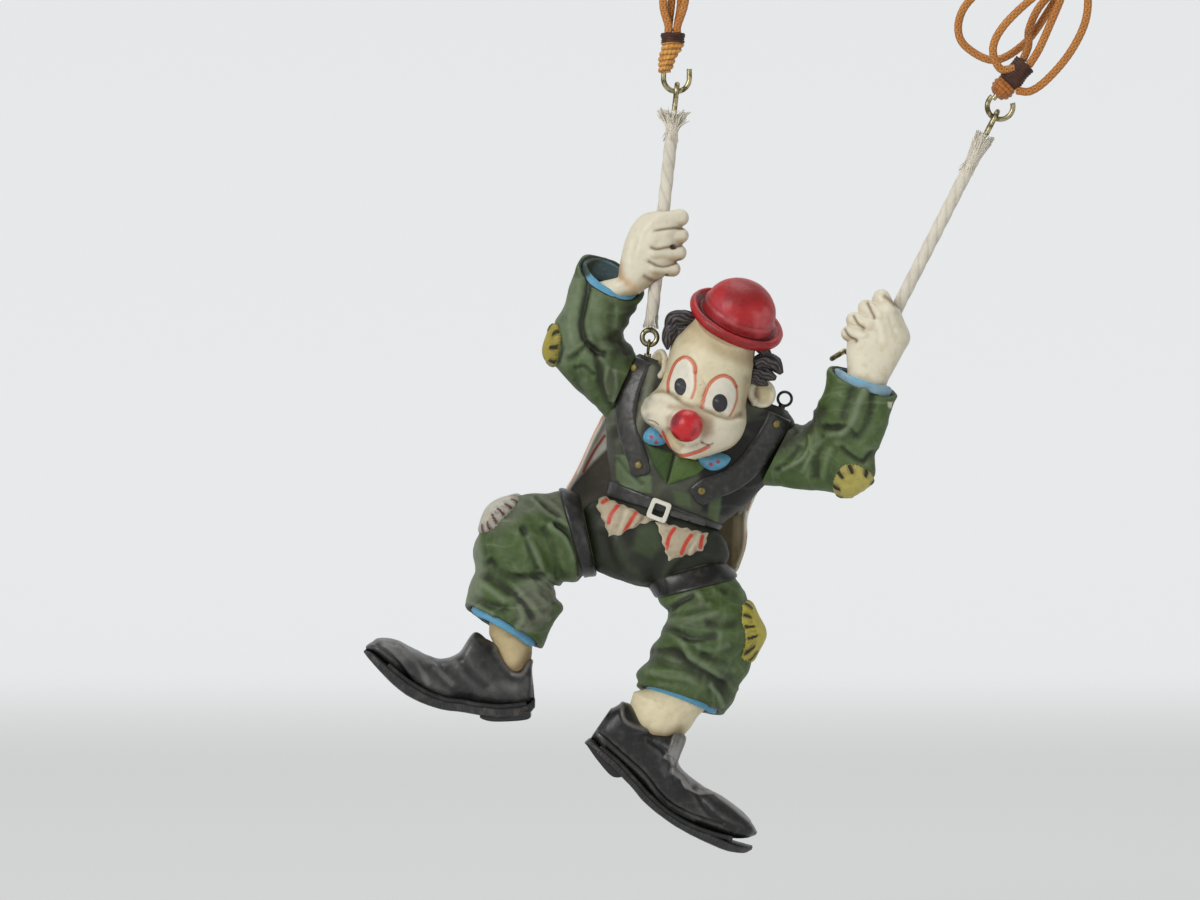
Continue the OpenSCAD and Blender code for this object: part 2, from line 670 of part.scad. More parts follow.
module rivets() {
    color("#b9a63a")
        for (q = [[-18.5, -176], [-17, -216.5], [8.5, -227], [39.5, -199]]) {
            p = place_at(coat, q);
            at = spot(coat, p[0], p[1], trim_lift + 2 * glue);
            out = spot(coat, p[0], p[1], trim_lift + 2 * glue + 1) - at;
            turn = [acos(out[2] / norm(out)), atan2(out[1], out[0])];
            translate(at) rotate([0, turn[0], turn[1]]) cylinder(r1 = 1.6, r2 = 1.2, h = 0.9);
        }
}
module belt() {
    color("#2f2f31") {
        band([
            for (p = [[6.1, glue], [6.1, trim_lift], [6.98, trim_lift], [6.98, glue]])
                ring(coat, p[0], 1, p[1])
        ]);
        strap(coat, [[-5, -237], [2, -239.5], [9, -241]], 5, 5, trim_lift + glue + 1, trim_lift + glue);
    }
}
module buckle() {
    size = 8.8;
    bar = 1.9;
    color("#e8e2c8")
        translate([-9, -13 - trim_lift - 1, -235.2])
            rotate([0, shoulder_slope, 0])
                difference() {
                    cube([size, 1.6, size], center = true);
                    cube([size - 2 * bar, 4, size - 2 * bar], center = true);
                }
}
module shirt_tails() {
    color("#e5dcbf") {
        right_tail = function(u, v)
            [0.1 + v * (2.9 - 1.8 * u), (1 - v) * (194 + 70 * u) + v * (232 + 31 * u)];
        left_tail = function(u, v)
            [0.1 + v * (3.05 - 1.2 * u), (1 - v) * (267 + 65 * u) + v * (281 + 31 * u)];
        laid_on(seat, right_tail, 6, 6);
        laid_on(seat, left_tail, 6, 6);
    }
}
module shirt_back() {
    form = [back_ribs, 0.85, 0, 0, 0, 16];
    thick = 2.6;
    place = [for (i = [0:8]) [for (j = [0:16]) [i / 8 * last(form), j / 16 * 180]]];
    function wing(p, inset) =
        let (v = along(back_ribs, p[0]))
        let (c = [v[0] + v[2], v[1] + v[3]] / 2, h = [v[2] - v[0], v[3] - v[1]] / 2)
        let (k = 1 - inset / norm(h), x = cos(p[1]), y = v[4] + (v[5] - v[4] - inset) * sin(p[1]))
        [c[0] + h[0] * k * x, y, c[1] + h[1] * k * x];
    color("#e5dcbf")
        plate([for (r = place) [for (p = r) wing(p, thick)]], [for (r = place) [for (p = r) wing(p, 0)]]);
}
module screw_eye(at, turn, lean, sink = 0) {
    drop = above_shoulders(at);
    translate(at)
        rotate([0, lean, 0])
            rotate([0, 0, turn])
                difference() {
                    union() {
                        wire_ring(shoulder_eye_r, eye_wire_d);
                        translate([0, 0, -drop - sink])
                            cylinder(r = 1.5, h = drop + sink - shoulder_eye_r + 0.2);
                    }
                    rotate([90, 0, 0]) cylinder(r = eye_bore_r, h = 4, center = true);
                }
}
module shoulder_eyes() {
    color("#8d7c50")
        difference() {
            screw_eye(right_eye_at, 90, right_rope_lean, 1);
            skin(rings(coat, 0, last(coat), 18));
        }
    color("#222222") screw_eye(left_eye_at, 0, shoulder_slope);
}
module trouser_seat() {
    r0 = right_leg_ribs[0];
    l0 = left_leg_ribs[0];
    color("#3c6338")
        difference() {
            skin(rings(seat, 0, last(seat), 12));
            past([r0[2], r0[3]], [r0[0], r0[1]]);
            past([l0[0], l0[1]], [l0[2], l0[3]]);
        }
}

// A sleeve or trouser leg: outside to the mouth, over its lip, and into a shallow hollow
mouth_in = 0.84;
mouth_depth = 0.5;
module tube_of_cloth(form, steps) {
    end = last(form);
    skin(concat(
        rings(form, 0, end, steps),
        [for (back = [0, mouth_depth / 2, mouth_depth]) ring(form, end - back, mouth_in)]
    ));
}
// A soft ring that lines the mouth and stands a little out of it
module lining(form, wall, out) {
    end = last(form);
    outer = mouth_in - 0.015;
    inner = outer - wall;
    middle = end - mouth_depth / 2;
    floor_at = end - mouth_depth + 0.02;
    band([
        ring(form, floor_at, outer),
        ring(form, middle, outer),
        ring(form, end, outer),
        ring(form, end + out, outer),
        ring(form, end + out, inner),
        ring(form, end, inner - 0.02),
        ring(form, middle, inner - 0.02),
        ring(form, floor_at, inner - 0.02)
    ]);
}
module right_sleeve() {
    color("#3f6b3a") tube_of_cloth(sleeve_right, 15);
}
module left_sleeve() {
    color("#3f6b3a") tube_of_cloth(sleeve_left, 15);
}
module right_trouser_leg() {
    color("#3f6b3a") tube_of_cloth(leg_right, 16);
}
module left_trouser_leg() {
    color("#3f6b3a") tube_of_cloth(leg_left, 16);
}
// A patch whose back follows the cloth, fold by fold
module sewn_patch(form, steps, middle, span, angle, bulge) {
    difference() {
        round_patch(form, middle, span, angle, trim, 8, -1.2, bulge);
        skin(rings(form, 0, last(form), steps));
    }
}
module elbow_patches() {
    color("#a9a23e") {
        sewn_patch(sleeve_right, 15, [3.1, 0], 0.85, 50, 1);
        sewn_patch(sleeve_left, 15, [3.4, -12], 0.7, 46, 0.5);
    }
}
module knee_patches() {
    color("#d9d2b0") sewn_patch(leg_right, 16, [3.5, 190], 0.95, 50, 0.6);
    color("#a9a23e") sewn_patch(leg_left, 16, [3.4, 190], 1.2, 46, 3);
}
module cuffs() {
    color("#6db3d6")
        difference() {
            union() {
                lining(sleeve_right, 0.12, 0.12);
                lining(sleeve_left, 0.12, 0.12);
            }
            palm(sleeve_right, 0.5, fist_right);
            palm(sleeve_left, 0.55, fist_left);
        }
}
module hem_linings() {
    color("#6db3d6")
        difference() {
            union() {
                lining(leg_right, 0.1, 0.08);
                lining(leg_left, 0.1, 0.08);
            }
            ankle(leg_right, 0.5, shin_right);
            ankle(leg_left, 0.62, shin_left);
        }
}
module leg_strap(form, steps, count) {
    places = [for (i = [0:count]) (i + 0.04) * last(form) / steps];
    band(concat(
        [for (p = places) ring(form, p, 1, trim)],
        [for (i = [count:-1:0]) ring(form, places[i], 1, glue)]
    ));
}
module thigh_straps() {
    color("#353537") {
        leg_strap(leg_right, 16, 2);
        leg_strap(leg_left, 16, 2);
    }
}

// Legs below the trousers, each from the floor of its hem's hollow
function stub(form, k, sides) =
    [for (i = [0:sides - 1]) spot(form, last(form) - mouth_depth, 360 * i / sides, 0, k)];
module ankle(leg, k, form) {
    limb(concat([stub(leg, k, 16)], rings(form, 0, last(form), 4)));
}
module shin(leg, k, form, shoe) {
    difference() {
        ankle(leg, k, form);
        shoe_upper(shoe);
    }
}
module shins() {
    color("#e3d3a4") {
        shin(leg_right, 0.5, shin_right, upper_right);
        shin(leg_left, 0.62, shin_left, upper_left);
    }
}
module shoe_upper(form) {
    skin(rings(form, 0, last(form), 18));
}
module right_shoe() {
    color("#2b2c2e") shoe_upper(upper_right);
}
module left_shoe() {
    color("#2b2c2e") shoe_upper(upper_left);
}
module heel(points, from, to) {
    translate([0, to, 0]) rotate([90, 0, 0]) linear_extrude(to - from) polygon(points);
}
module right_sole() {
    color("#343537") {
        skin(rings(tread_right, 0, last(tread_right), 20));
        heel([[-62.5, -319], [-83, -320.8], [-79, -323.4], [-64, -322.6]], -14, 6);
    }
}
module left_sole() {
    color("#343537") {
        skin(rings(tread_left, 0, last(tread_left), 20));
        heel(
            [[-39.5, -332.5], [-33.5, -336], [-25, -344.5], [-23.5, -346], [-28.5, -346], [-34.5, -339.5]],
            -20,
            0
        );
    }
}

// Hands and head
module joint(a, b, r) {
    hull() {
        translate(a) sphere(r = r, $fn = 12);
        translate(b) sphere(r = r, $fn = 12);
    }
}
module palm(sleeve, k, form) {
    limb(concat([stub(sleeve, k, 18)], rings(form, 0, last(form), 7)));
}
module fist(sleeve, k, form, fingers, hook, rope_dir) {
    difference() {
        union() {
            palm(sleeve, k, form);
            for (f = fingers, i = [1:3]) joint(f[i], f[i + 1], f[0]);
        }
        aim(hook, rope_dir) cylinder(r = rope_r + rope_play, h = 140);
    }
}
module right_hand() {
    color("#e8dfc2") fist(sleeve_right, 0.5, fist_right, right_fingers, right_hook, right_rope_dir);
}
module left_hand() {
    color("#e8dfc2") fist(sleeve_left, 0.55, fist_left, left_fingers, left_hook, left_rope_dir);
}
hat_at = [22.3, -6, -157.6];
module hat_frame() {
    translate(hat_at) rotate([0, 25.5, 0]) rotate([27, 0, 0]) children();
}
module head() {
    neck = jacket_ribs[0];
    size = 100;
    color("#e8dfc2")
        difference() {
            skin(rings(skull, 0, last(skull), 20));
            hat_frame() translate([-size / 2, -size / 2, 0]) cube(size);
            translate([neck[0], -23, neck[1]])
                rotate([0, -atan2(neck[3] - neck[1], neck[2] - neck[0]), 0])
                    translate([-size / 2, 0, -size]) cube(size);
        }
}
module ear(r) {
    rotate_extrude()
        polygon([
            [0, 0], [r - 1.5, 0.6], [r - 0.4, 0.4], [r, 1.2],
            [r - 0.3, 2.2], [r - 1.4, 2.4], [r - 2.6, 1.6], [0, 1.4]
        ]);
}
module ears() {
    color("#e8dfc2")
        difference() {
            union() {
                translate([-8, -4.9, -175]) rotate([80, -14, -62]) ear(7.2);
                translate([33.6, -8, -186.5]) rotate([80, 6, 18]) ear(6.2);
            }
            skin(rings(skull, 0, last(skull), 20));
            skin(rings(coat, 0, last(coat), 18));
        }
}
module nose() {
    color("#c9252b")
        difference() {
            translate([2, -42, -200]) sphere(r = nose_r, $fn = 28);
            skin(rings(skull, 0, last(skull), 20));
        }
}
module pupils() {
    color("#3c3f45")
        for (q = [[-0.3, -184.2, 2.6, 4.2], [15.9, -190.5, 3.2, 3.8]]) {
            at = [q[0], q[1]];
            place = function(u, v)
                let (x = 2 * u - 1, y = 2 * v - 1)
                place_at(skull, at + [q[2] * x * sqrt(1 - y * y / 2), q[3] * y * sqrt(1 - x * x / 2)]);
            laid_on(skull, place, 5, 5, 0.7, 0.3);
        }
}
module lock(a, b, r1, r2) {
    hull() {
        translate(a) sphere(r = r1, $fn = 9);
        translate(b) sphere(r = r2, $fn = 9);
    }
}
module hair() {
    color("#2d2a2c")
        difference() {
            union() {
                for (y = [-13, -5, 3]) {
                    lock([2, y, -154.5], [-5, y - 1, -156.5], 3.6, 3);
                    lock([-5.2, y, -157.5], [-4.8, y, -166], 3.2, 1.8);
                }
                for (y = [-12, -3, 5]) lock([33.5, y, -173.5], [39, y, -175.5], 4.4, 2.6);
                lock([32, -12, -166], [38, -9, -172], 3, 3);
            }
            skin(rings(skull, 0, last(skull), 20));
            hat_frame() translate([-50, -50, -0.2]) cube(100);
        }
}
module hat() {
    brim = 2.4;
    top = 20.6;
    color("#b3262c")
        hat_frame()
            rotate_extrude()
                polygon(concat(
                    [[0, 0], [crown_r + 1.5, 0], [brim_r - 1.6, 0.6], [brim_r - 0.4, 1.8], [brim_r, 3.4]],
                    [[brim_r - 0.6, 4.8], [brim_r - 1.8, 5], [brim_r - 2.8, 3.8]],
                    [[crown_r + 1, brim], [crown_r, brim + 1]],
                    [for (a = [0:10:90]) [crown_r * cos(a), 7 + (top - 7) * sin(a)]]
                ));
}

right_line_knot();
right_line(0);  // right_line_1
right_line(1);  // right_line_2
right_line(2);  // right_line_3
right_line(3);  // right_line_4
right_whipping();
right_cord_wrap();
right_open_hook();
right_rope_eye();
right_rope_collar();
right_rope();
right_rope_end();
right_lower_hook();
left_line_knot();
left_line(0);  // left_line_1
left_line(1);  // left_line_2
left_line(2);  // left_line_3
left_line(3);  // left_line_4
left_line(4);  // left_line_5
left_whipping();
left_cord_wrap();
left_open_hook();
left_rope_eye();
left_rope_collar();
left_rope();
left_rope_end();
left_lower_hook();
jacket();
lapels();
bow_tie();
harness();
rivets();
belt();
buckle();
shirt_tails();
shirt_back();
shoulder_eyes();
trouser_seat();
right_trouser_leg();
left_trouser_leg();
thigh_straps();
knee_patches();
hem_linings();
shins();
right_shoe();
right_sole();
left_shoe();
left_sole();
right_sleeve();
left_sleeve();
elbow_patches();
cuffs();
right_hand();
left_hand();
head();
ears();
nose();
pupils();
hair();
hat();
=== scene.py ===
"""A painted clown that hangs from two cotton ropes, each rope on a hook at the end of silky lines.

Everything is worked out in millimetres, in the frame of the CAD model: X to the right, Y into the
picture, Z up, and the origin at the knot that holds the right lines. The figure faces -Y.
"""

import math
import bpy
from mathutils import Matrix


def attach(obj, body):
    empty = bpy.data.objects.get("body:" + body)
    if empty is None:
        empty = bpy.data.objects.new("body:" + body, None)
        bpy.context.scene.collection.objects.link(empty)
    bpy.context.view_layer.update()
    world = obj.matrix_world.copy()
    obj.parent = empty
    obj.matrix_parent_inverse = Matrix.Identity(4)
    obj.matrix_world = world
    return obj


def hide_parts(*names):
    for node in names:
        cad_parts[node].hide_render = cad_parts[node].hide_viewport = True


bl_info = {
    "name": "Parachute Clown Toy",
    "version": (1, 0, 0),
    "blender": (4, 5, 0),
    "location": "3D View > Sidebar > Toy",
    "description": "Dresses the CAD frame of a hanging clown toy with painted cloth, rope and line",
    "category": "Object",
}

import bmesh
import bpy
import mathutils
import numpy as np

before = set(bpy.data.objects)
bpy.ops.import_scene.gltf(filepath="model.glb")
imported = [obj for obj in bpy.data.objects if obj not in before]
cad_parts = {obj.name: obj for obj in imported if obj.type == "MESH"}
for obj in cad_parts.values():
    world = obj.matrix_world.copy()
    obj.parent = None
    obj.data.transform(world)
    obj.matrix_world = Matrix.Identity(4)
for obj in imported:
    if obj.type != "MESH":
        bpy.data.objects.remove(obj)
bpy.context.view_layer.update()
MM = 0.001

# Where the camera stands, in mm, and how much it sees across at the figure
EYE = np.array([-33.6, -2200.0, -210.0])
SEEN_WIDTH, FILM_WIDTH = 504.0, 36

# The two hooks, the directions of their ropes, and places along each rope in mm
RIGHT_HOOK, RIGHT_DIR = (-1.5, 0, -59.4), (-11.6, 0, -106.3)
LEFT_HOOK, LEFT_DIR = (132, 0, -70.5), (-36.9, 0, -72.3)
COLLAR_FROM, RIGHT_COLLAR_TO, LEFT_COLLAR_TO = 8, 17, 22
RIGHT_TASSEL, LEFT_TASSEL = (94, 99.6), (110.5, 115)
TRIM, GLUE = 1.4, 0.15
HALVINGS = 18
TRIM_LIFT = TRIM + GLUE
ROPE_LAY = 17
FULL_TURN = 2 * math.pi
NEARLY_Y = np.array([0.0, 1.0, 0.0]) + 1e-4

# The stage: floor, backdrop and light, in metres and watts
FLOOR_AT, FLOOR_END, FLOOR_BEND = -0.42, 2.6, 0.7
KEY_POWER, SKY_STRENGTH, SKY = 24.0, 0.36, (1.0, 1.0, 1.0)


def tone(red, green, blue):
    """A paint colour as it looks on screen, from 0 to 255, turned into the linear one of a render."""
    c = np.array([red, green, blue]) / 255
    return np.where(c <= 0.04045, c / 12.92, ((c + 0.055) / 1.055) ** 2.4)


GREEN = tone(66, 84, 42)
DEEP_GREEN = tone(42, 56, 24)
PALE_GREEN = tone(108, 122, 92)
BRIGHT_GREEN = tone(70, 108, 40)
# Dark paint for the creases and folds, which also stands for their painted shade
WASH_AND_SHADE = tone(34, 36, 27)
GREY_WASH = tone(72, 72, 63)
CHARCOAL = tone(42, 41, 40)
PALE_GREY = tone(108, 107, 104)
BLACK = tone(19, 19, 18)
CREAM = tone(218, 211, 188)
SHADED_CREAM = tone(192, 175, 136)
BROWN = tone(102, 72, 40)
SHIRT = tone(212, 196, 166)
STRIPE = tone(192, 50, 34)
OCHRE = tone(200, 184, 142)
OUTLINE = tone(210, 80, 48)
EYE_WHITE = tone(222, 218, 204)
PUPIL = tone(50, 50, 53)
RED = tone(168, 24, 28)
DARK_RED = tone(92, 20, 23)
PINK = tone(196, 96, 100)
BLUE = tone(92, 156, 188)
DULL_BLUE = tone(88, 112, 120)
STRAW = tone(186, 172, 114)
GOLD = tone(122, 107, 50)
COTTON = tone(240, 232, 213)
SILK = tone(186, 108, 28)
PALE_SILK = tone(222, 164, 78)
BINDING = tone(82, 52, 38)
SHOE_GREY = tone(50, 51, 50)
BRASS, DULL_BRASS = tone(186, 176, 138), tone(92, 84, 58)
SKIN_SHADE = tone(150, 118, 84)
PAPER_NEAR, PAPER_FAR, PAPER_TOP = tone(210, 212, 211), tone(239, 241, 242), tone(236, 238, 240)


def unit(v):
    v = np.asarray(v, float)
    return v / np.maximum(np.linalg.norm(v, axis=-1, keepdims=True), 1e-9)


def smooth_step(low, high, x):
    """Nought below low, one above high, and the cubic 3x^2 - 2x^3 between them."""
    t = np.clip((x - low) / (high - low), 0, 1)
    return t * t * (3 - 2 * t)


def turns(count):
    """Angles all the way round, in equal steps."""
    return np.linspace(0, FULL_TURN, count, endpoint=False)


def power(x, p):
    """The power of a number's size, with its sign kept."""
    return np.sign(x) * np.abs(x) ** p


def mix(a, b, share):
    """From a to b by a share that may change from point to point."""
    share = np.asarray(share)[..., None]
    return a * (1 - share) + b * share


def curve(rows, s):
    """The point at place s of a Catmull-Rom curve through the rows, carried on past both ends."""
    rows = np.asarray(rows, float)
    n = len(rows) - 1
    s = np.asarray(s, float)
    i = np.clip(np.floor(s).astype(int), 0, n - 1)
    f = (s - i)[..., None]
    rows = np.vstack([2 * rows[0] - rows[1], rows, 2 * rows[-1] - rows[-2]])
    a, b, c, d = (rows[i + k] for k in range(4))
    cubic = 3 * b - a - 3 * c + d
    return (2 * b + (c - a) * f + (2 * a - 5 * b + 4 * c - d) * f**2 + cubic * f**3) / 2


def noise(points, size, seed=0):
    """Value noise from -1 to 1: a random number at each corner of a lattice of that pitch, and
    between the corners the eight of them blended by 3x^2 - 2x^3."""
    q = points / size + seed * 17.31
    cell = np.floor(q)
    f = q - cell
    f = f * f * (3 - 2 * f)
    total = 0
    for corner in range(8):
        step = np.array([corner & 1, corner >> 1 & 1, corner >> 2])
        key = (cell + step) @ np.array([127.1, 311.7, 74.7])
        value = np.modf(np.abs(np.sin(key) * 43758.5453))[0]
        total = total + value * np.prod(np.where(step, f, 1 - f), axis=-1)
    return total * 2 - 1


def rough(points, size, seed=0):
    """Three layers of the noise, each half the size and half the height of the one before."""
    return sum(noise(points, size / 2**k, seed + k) / 2**k for k in range(3)) / 1.75


def creases(points, size, seed=0):
    """Sharp crests that wander, from nought to one: (1 - |noise|)^3 of places shifted by the noise."""
    shift = np.stack([noise(points, size * 1.6, seed + k) for k in (20, 30, 40)], -1)
    return (1 - np.abs(noise(points + 0.4 * size * shift, size, seed))) ** 3


def nearest_turn(ring, other):
    """The ring, started at another of its points and turned the other way if need be, so that its
    points lie nearest to those of the other ring."""
    both = [np.roll(way, k, 0) for way in (ring, ring[::-1]) for k in range(len(ring))]
    return min(both, key=lambda turned_one: ((turned_one - other) ** 2).sum())


def in_picture(points):
    """Where the camera sees a point, as X and Z in mm in the plane through the figure."""
    k = EYE[1] / (EYE[1] - points[..., 1])
    return np.stack([EYE[i] + (points[..., i] - EYE[i]) * k for i in (0, 2)], -1)


def distance(xz, line):
    """How far each point of the picture is from a line of straight stretches."""
    line = np.asarray(line, float)
    if len(line) == 1:
        return np.linalg.norm(xz - line[0], axis=-1)
    best = np.full(xz.shape[:-1], 1e9)
    for a, b in zip(line[:-1], line[1:]):
        t = np.clip(((xz - a) @ (b - a)) / max((b - a) @ (b - a), 1e-9), 0, 1)
        best = np.minimum(best, np.linalg.norm(xz - a - t[..., None] * (b - a), axis=-1))
    return best


def inside(xz, outline):
    """Signed distance to an outline in the picture, more than nought within it."""
    outline = np.reshape(outline, (-1, 2)).astype(float)
    within = np.zeros(xz.shape[:-1], bool)
    for a, b in zip(outline, np.roll(outline, -1, 0)):
        crosses = (a[1] > xz[..., 1]) != (b[1] > xz[..., 1])
        rise = b[1] - a[1] if b[1] != a[1] else 1e-9
        within ^= crosses & (xz[..., 0] < a[0] + (b[0] - a[0]) * (xz[..., 1] - a[1]) / rise)
    far = distance(xz, np.vstack([outline, outline[:1]]))
    return np.where(within, far, -far)


class Form:
    """A body between two edges. Rib s gives edge A, edge B, how far the body comes forward and goes
    back, and how far its back leans. Round the rib the point is the middle plus the half width
    times cos t and the half depth times sin t, each to the power of the squareness."""

    def __init__(self, ribs, square=0.9, fold=0, per_rib=0, slant=0):
        self.ribs = np.array([list(rib) + [0] * (7 - len(rib)) for rib in ribs], float)
        self.square, self.fold, self.per_rib, self.slant = square, fold, per_rib, slant
        self.end = len(ribs) - 1

    def parts(self, s):
        v = curve(self.ribs, s)
        a, b = v[..., 0:2], v[..., 2:4]
        half = np.linalg.norm(b - a, axis=-1) / 2
        return v, (a + b) / 2, half, unit(b - a), (v[..., 4] + v[..., 5]) / 2, (v[..., 5] - v[..., 4]) / 2

    def spot(self, s, t, out=0.0, k=1.0):
        s, t = np.broadcast_arrays(np.asarray(s, float), np.asarray(t, float))
        v, centre, half, across, y, deep = self.parts(s)
        ahead = np.stack([-across[..., 1], across[..., 0]], -1)
        cos, sin = np.cos(t), np.sin(t)
        x, w = power(cos, self.square), power(sin, self.square)
        fold = 1 - self.fold * (0.5 - 0.5 * np.cos(FULL_TURN * self.per_rib * s + self.slant * t))
        n = unit(np.stack([cos / np.maximum(half, 0.01), sin / np.maximum(deep, 0.01)], -1))
        u = half * x * fold * k + out * n[..., 0]
        p = centre + across * u[..., None] + ahead * (v[..., 6] * w * k)[..., None]
        return np.stack([p[..., 0], y + deep * w * fold * k + out * n[..., 1], p[..., 1]], -1)

    def place(self, xz):
        """Place and angle on the front of the form for points of the picture, by halving."""
        xz = np.asarray(xz, float)

        def side(s):
            v = curve(self.ribs, s)
            return (v[..., 2] - v[..., 0]) * (xz[..., 1] - v[..., 1]) - (v[..., 3] - v[..., 1]) * (
                xz[..., 0] - v[..., 0]
            )

        low, high = np.zeros(xz.shape[:-1]), np.full(xz.shape[:-1], float(self.end))
        for _ in range(HALVINGS):
            middle = (low + high) / 2
            same = side(low) * side(middle) > 0
            low, high = np.where(same, middle, low), np.where(same, high, middle)
        _, centre, half, across, _, _ = self.parts(low)
        u = np.clip(((xz - centre) * across).sum(-1) / half, -0.995, 0.995)
        return low, FULL_TURN - np.arccos(power(u, 1 / self.square))

    def grid(self, rows, columns):
        return self.spot(np.linspace(0, self.end, rows)[:, None], turns(columns)[None])


def normals(points):
    """The direction out of a closed grid: the two ways along it, crossed, and turned from its middle."""
    round_it = np.roll(points, -1, 1) - np.roll(points, 1, 1)
    n = unit(np.cross(np.gradient(points, axis=0), round_it))
    out = ((points - points.mean(1, keepdims=True)) * n).sum()
    return n if out > 0 else -n


def hollow(height, reach):
    """How far each point of a closed grid lies below the mean of the four that far round it."""
    pad = np.pad(height, ((reach, reach), (0, 0)), mode="edge")
    ends = pad[2 * reach :] + pad[: -2 * reach]
    return (ends + np.roll(height, reach, 1) + np.roll(height, -reach, 1)) / 4 - height


class Canvas:
    """The relief and the paint of a piece, laid on by strokes of the picture, on its front. Lines
    and outlines are given as X and Z in turn, in mm."""

    def __init__(self, points, out, ground, wide=1.0):
        self.points, self.out, self.wide = points, out, wide
        self.xz = in_picture(points)
        self.front = smooth_step(0.15, -0.15, out[..., 1])
        self.height = np.zeros(points.shape[:-1])
        self.colour = np.broadcast_to(ground, points.shape).copy()

    def tint(self, colour, share):
        self.colour = mix(self.colour, colour, share)

    def mask(self, line, half, soft):
        """One within half the width of the line, fading over the soft width, or a bell if none. The
        line is rounded to a smooth curve first."""
        line = np.reshape(line, (-1, 2))
        if len(line) > 2:
            line = curve(line, np.linspace(0, len(line) - 1, 3 * len(line) - 2))
        d = distance(self.xz, line)
        if soft is None:
            return np.exp(-((d / half) ** 2)) * self.front
        return smooth_step(half + soft / 2, half - soft / 2, d) * self.front

    def folds(self, *strokes):
        """Each stroke is (half width, rise, line): a bell-shaped ridge, or a valley below nought."""
        for half, rise, line in strokes:
            self.height += rise * self.mask(line, half * self.wide, None)

    def paint(self, colour, strength, half, *lines, soft=None, lift=0.0):
        for line in lines:
            m = self.mask(line, half if soft else half * self.wide, soft)
            self.tint(colour, m * strength)
            self.height += lift * m

    def area(self, colour, strength, outline, soft=1.0, lift=0.0):
        m = smooth_step(-soft / 2, soft / 2, inside(self.xz, outline)) * self.front
        self.tint(colour, m * strength)
        self.height += lift * m

    def speckle(self, colour, strength, size, seed):
        """Patches of another paint where the rough noise is high."""
        m = smooth_step(0.1, 0.75, rough(self.points, size, seed))
        self.tint(colour, m * strength)

    def wash_shade_and_highlight(self, reach, dark, light, depth=1.0, wash_and_shade=WASH_AND_SHADE, rub_and_highlight=PALE_GREEN):
        """Dark wash and painted shade gather in the hollows, and the crests are lighter with rubbed paint and painted
        highlights.
        """
        low = hollow(self.height, reach)
        wander = 0.75 + 0.5 * rough(self.points, 4, 9)
        self.tint(wash_and_shade, np.clip(low / depth * wander, 0, 1) * dark)
        self.tint(rub_and_highlight, np.clip(-low / depth * wander, 0, 1) * light)

    def raised(self):
        return self.points + self.out * self.height[..., None]

    def skin(self):
        return Skin().lay(self)


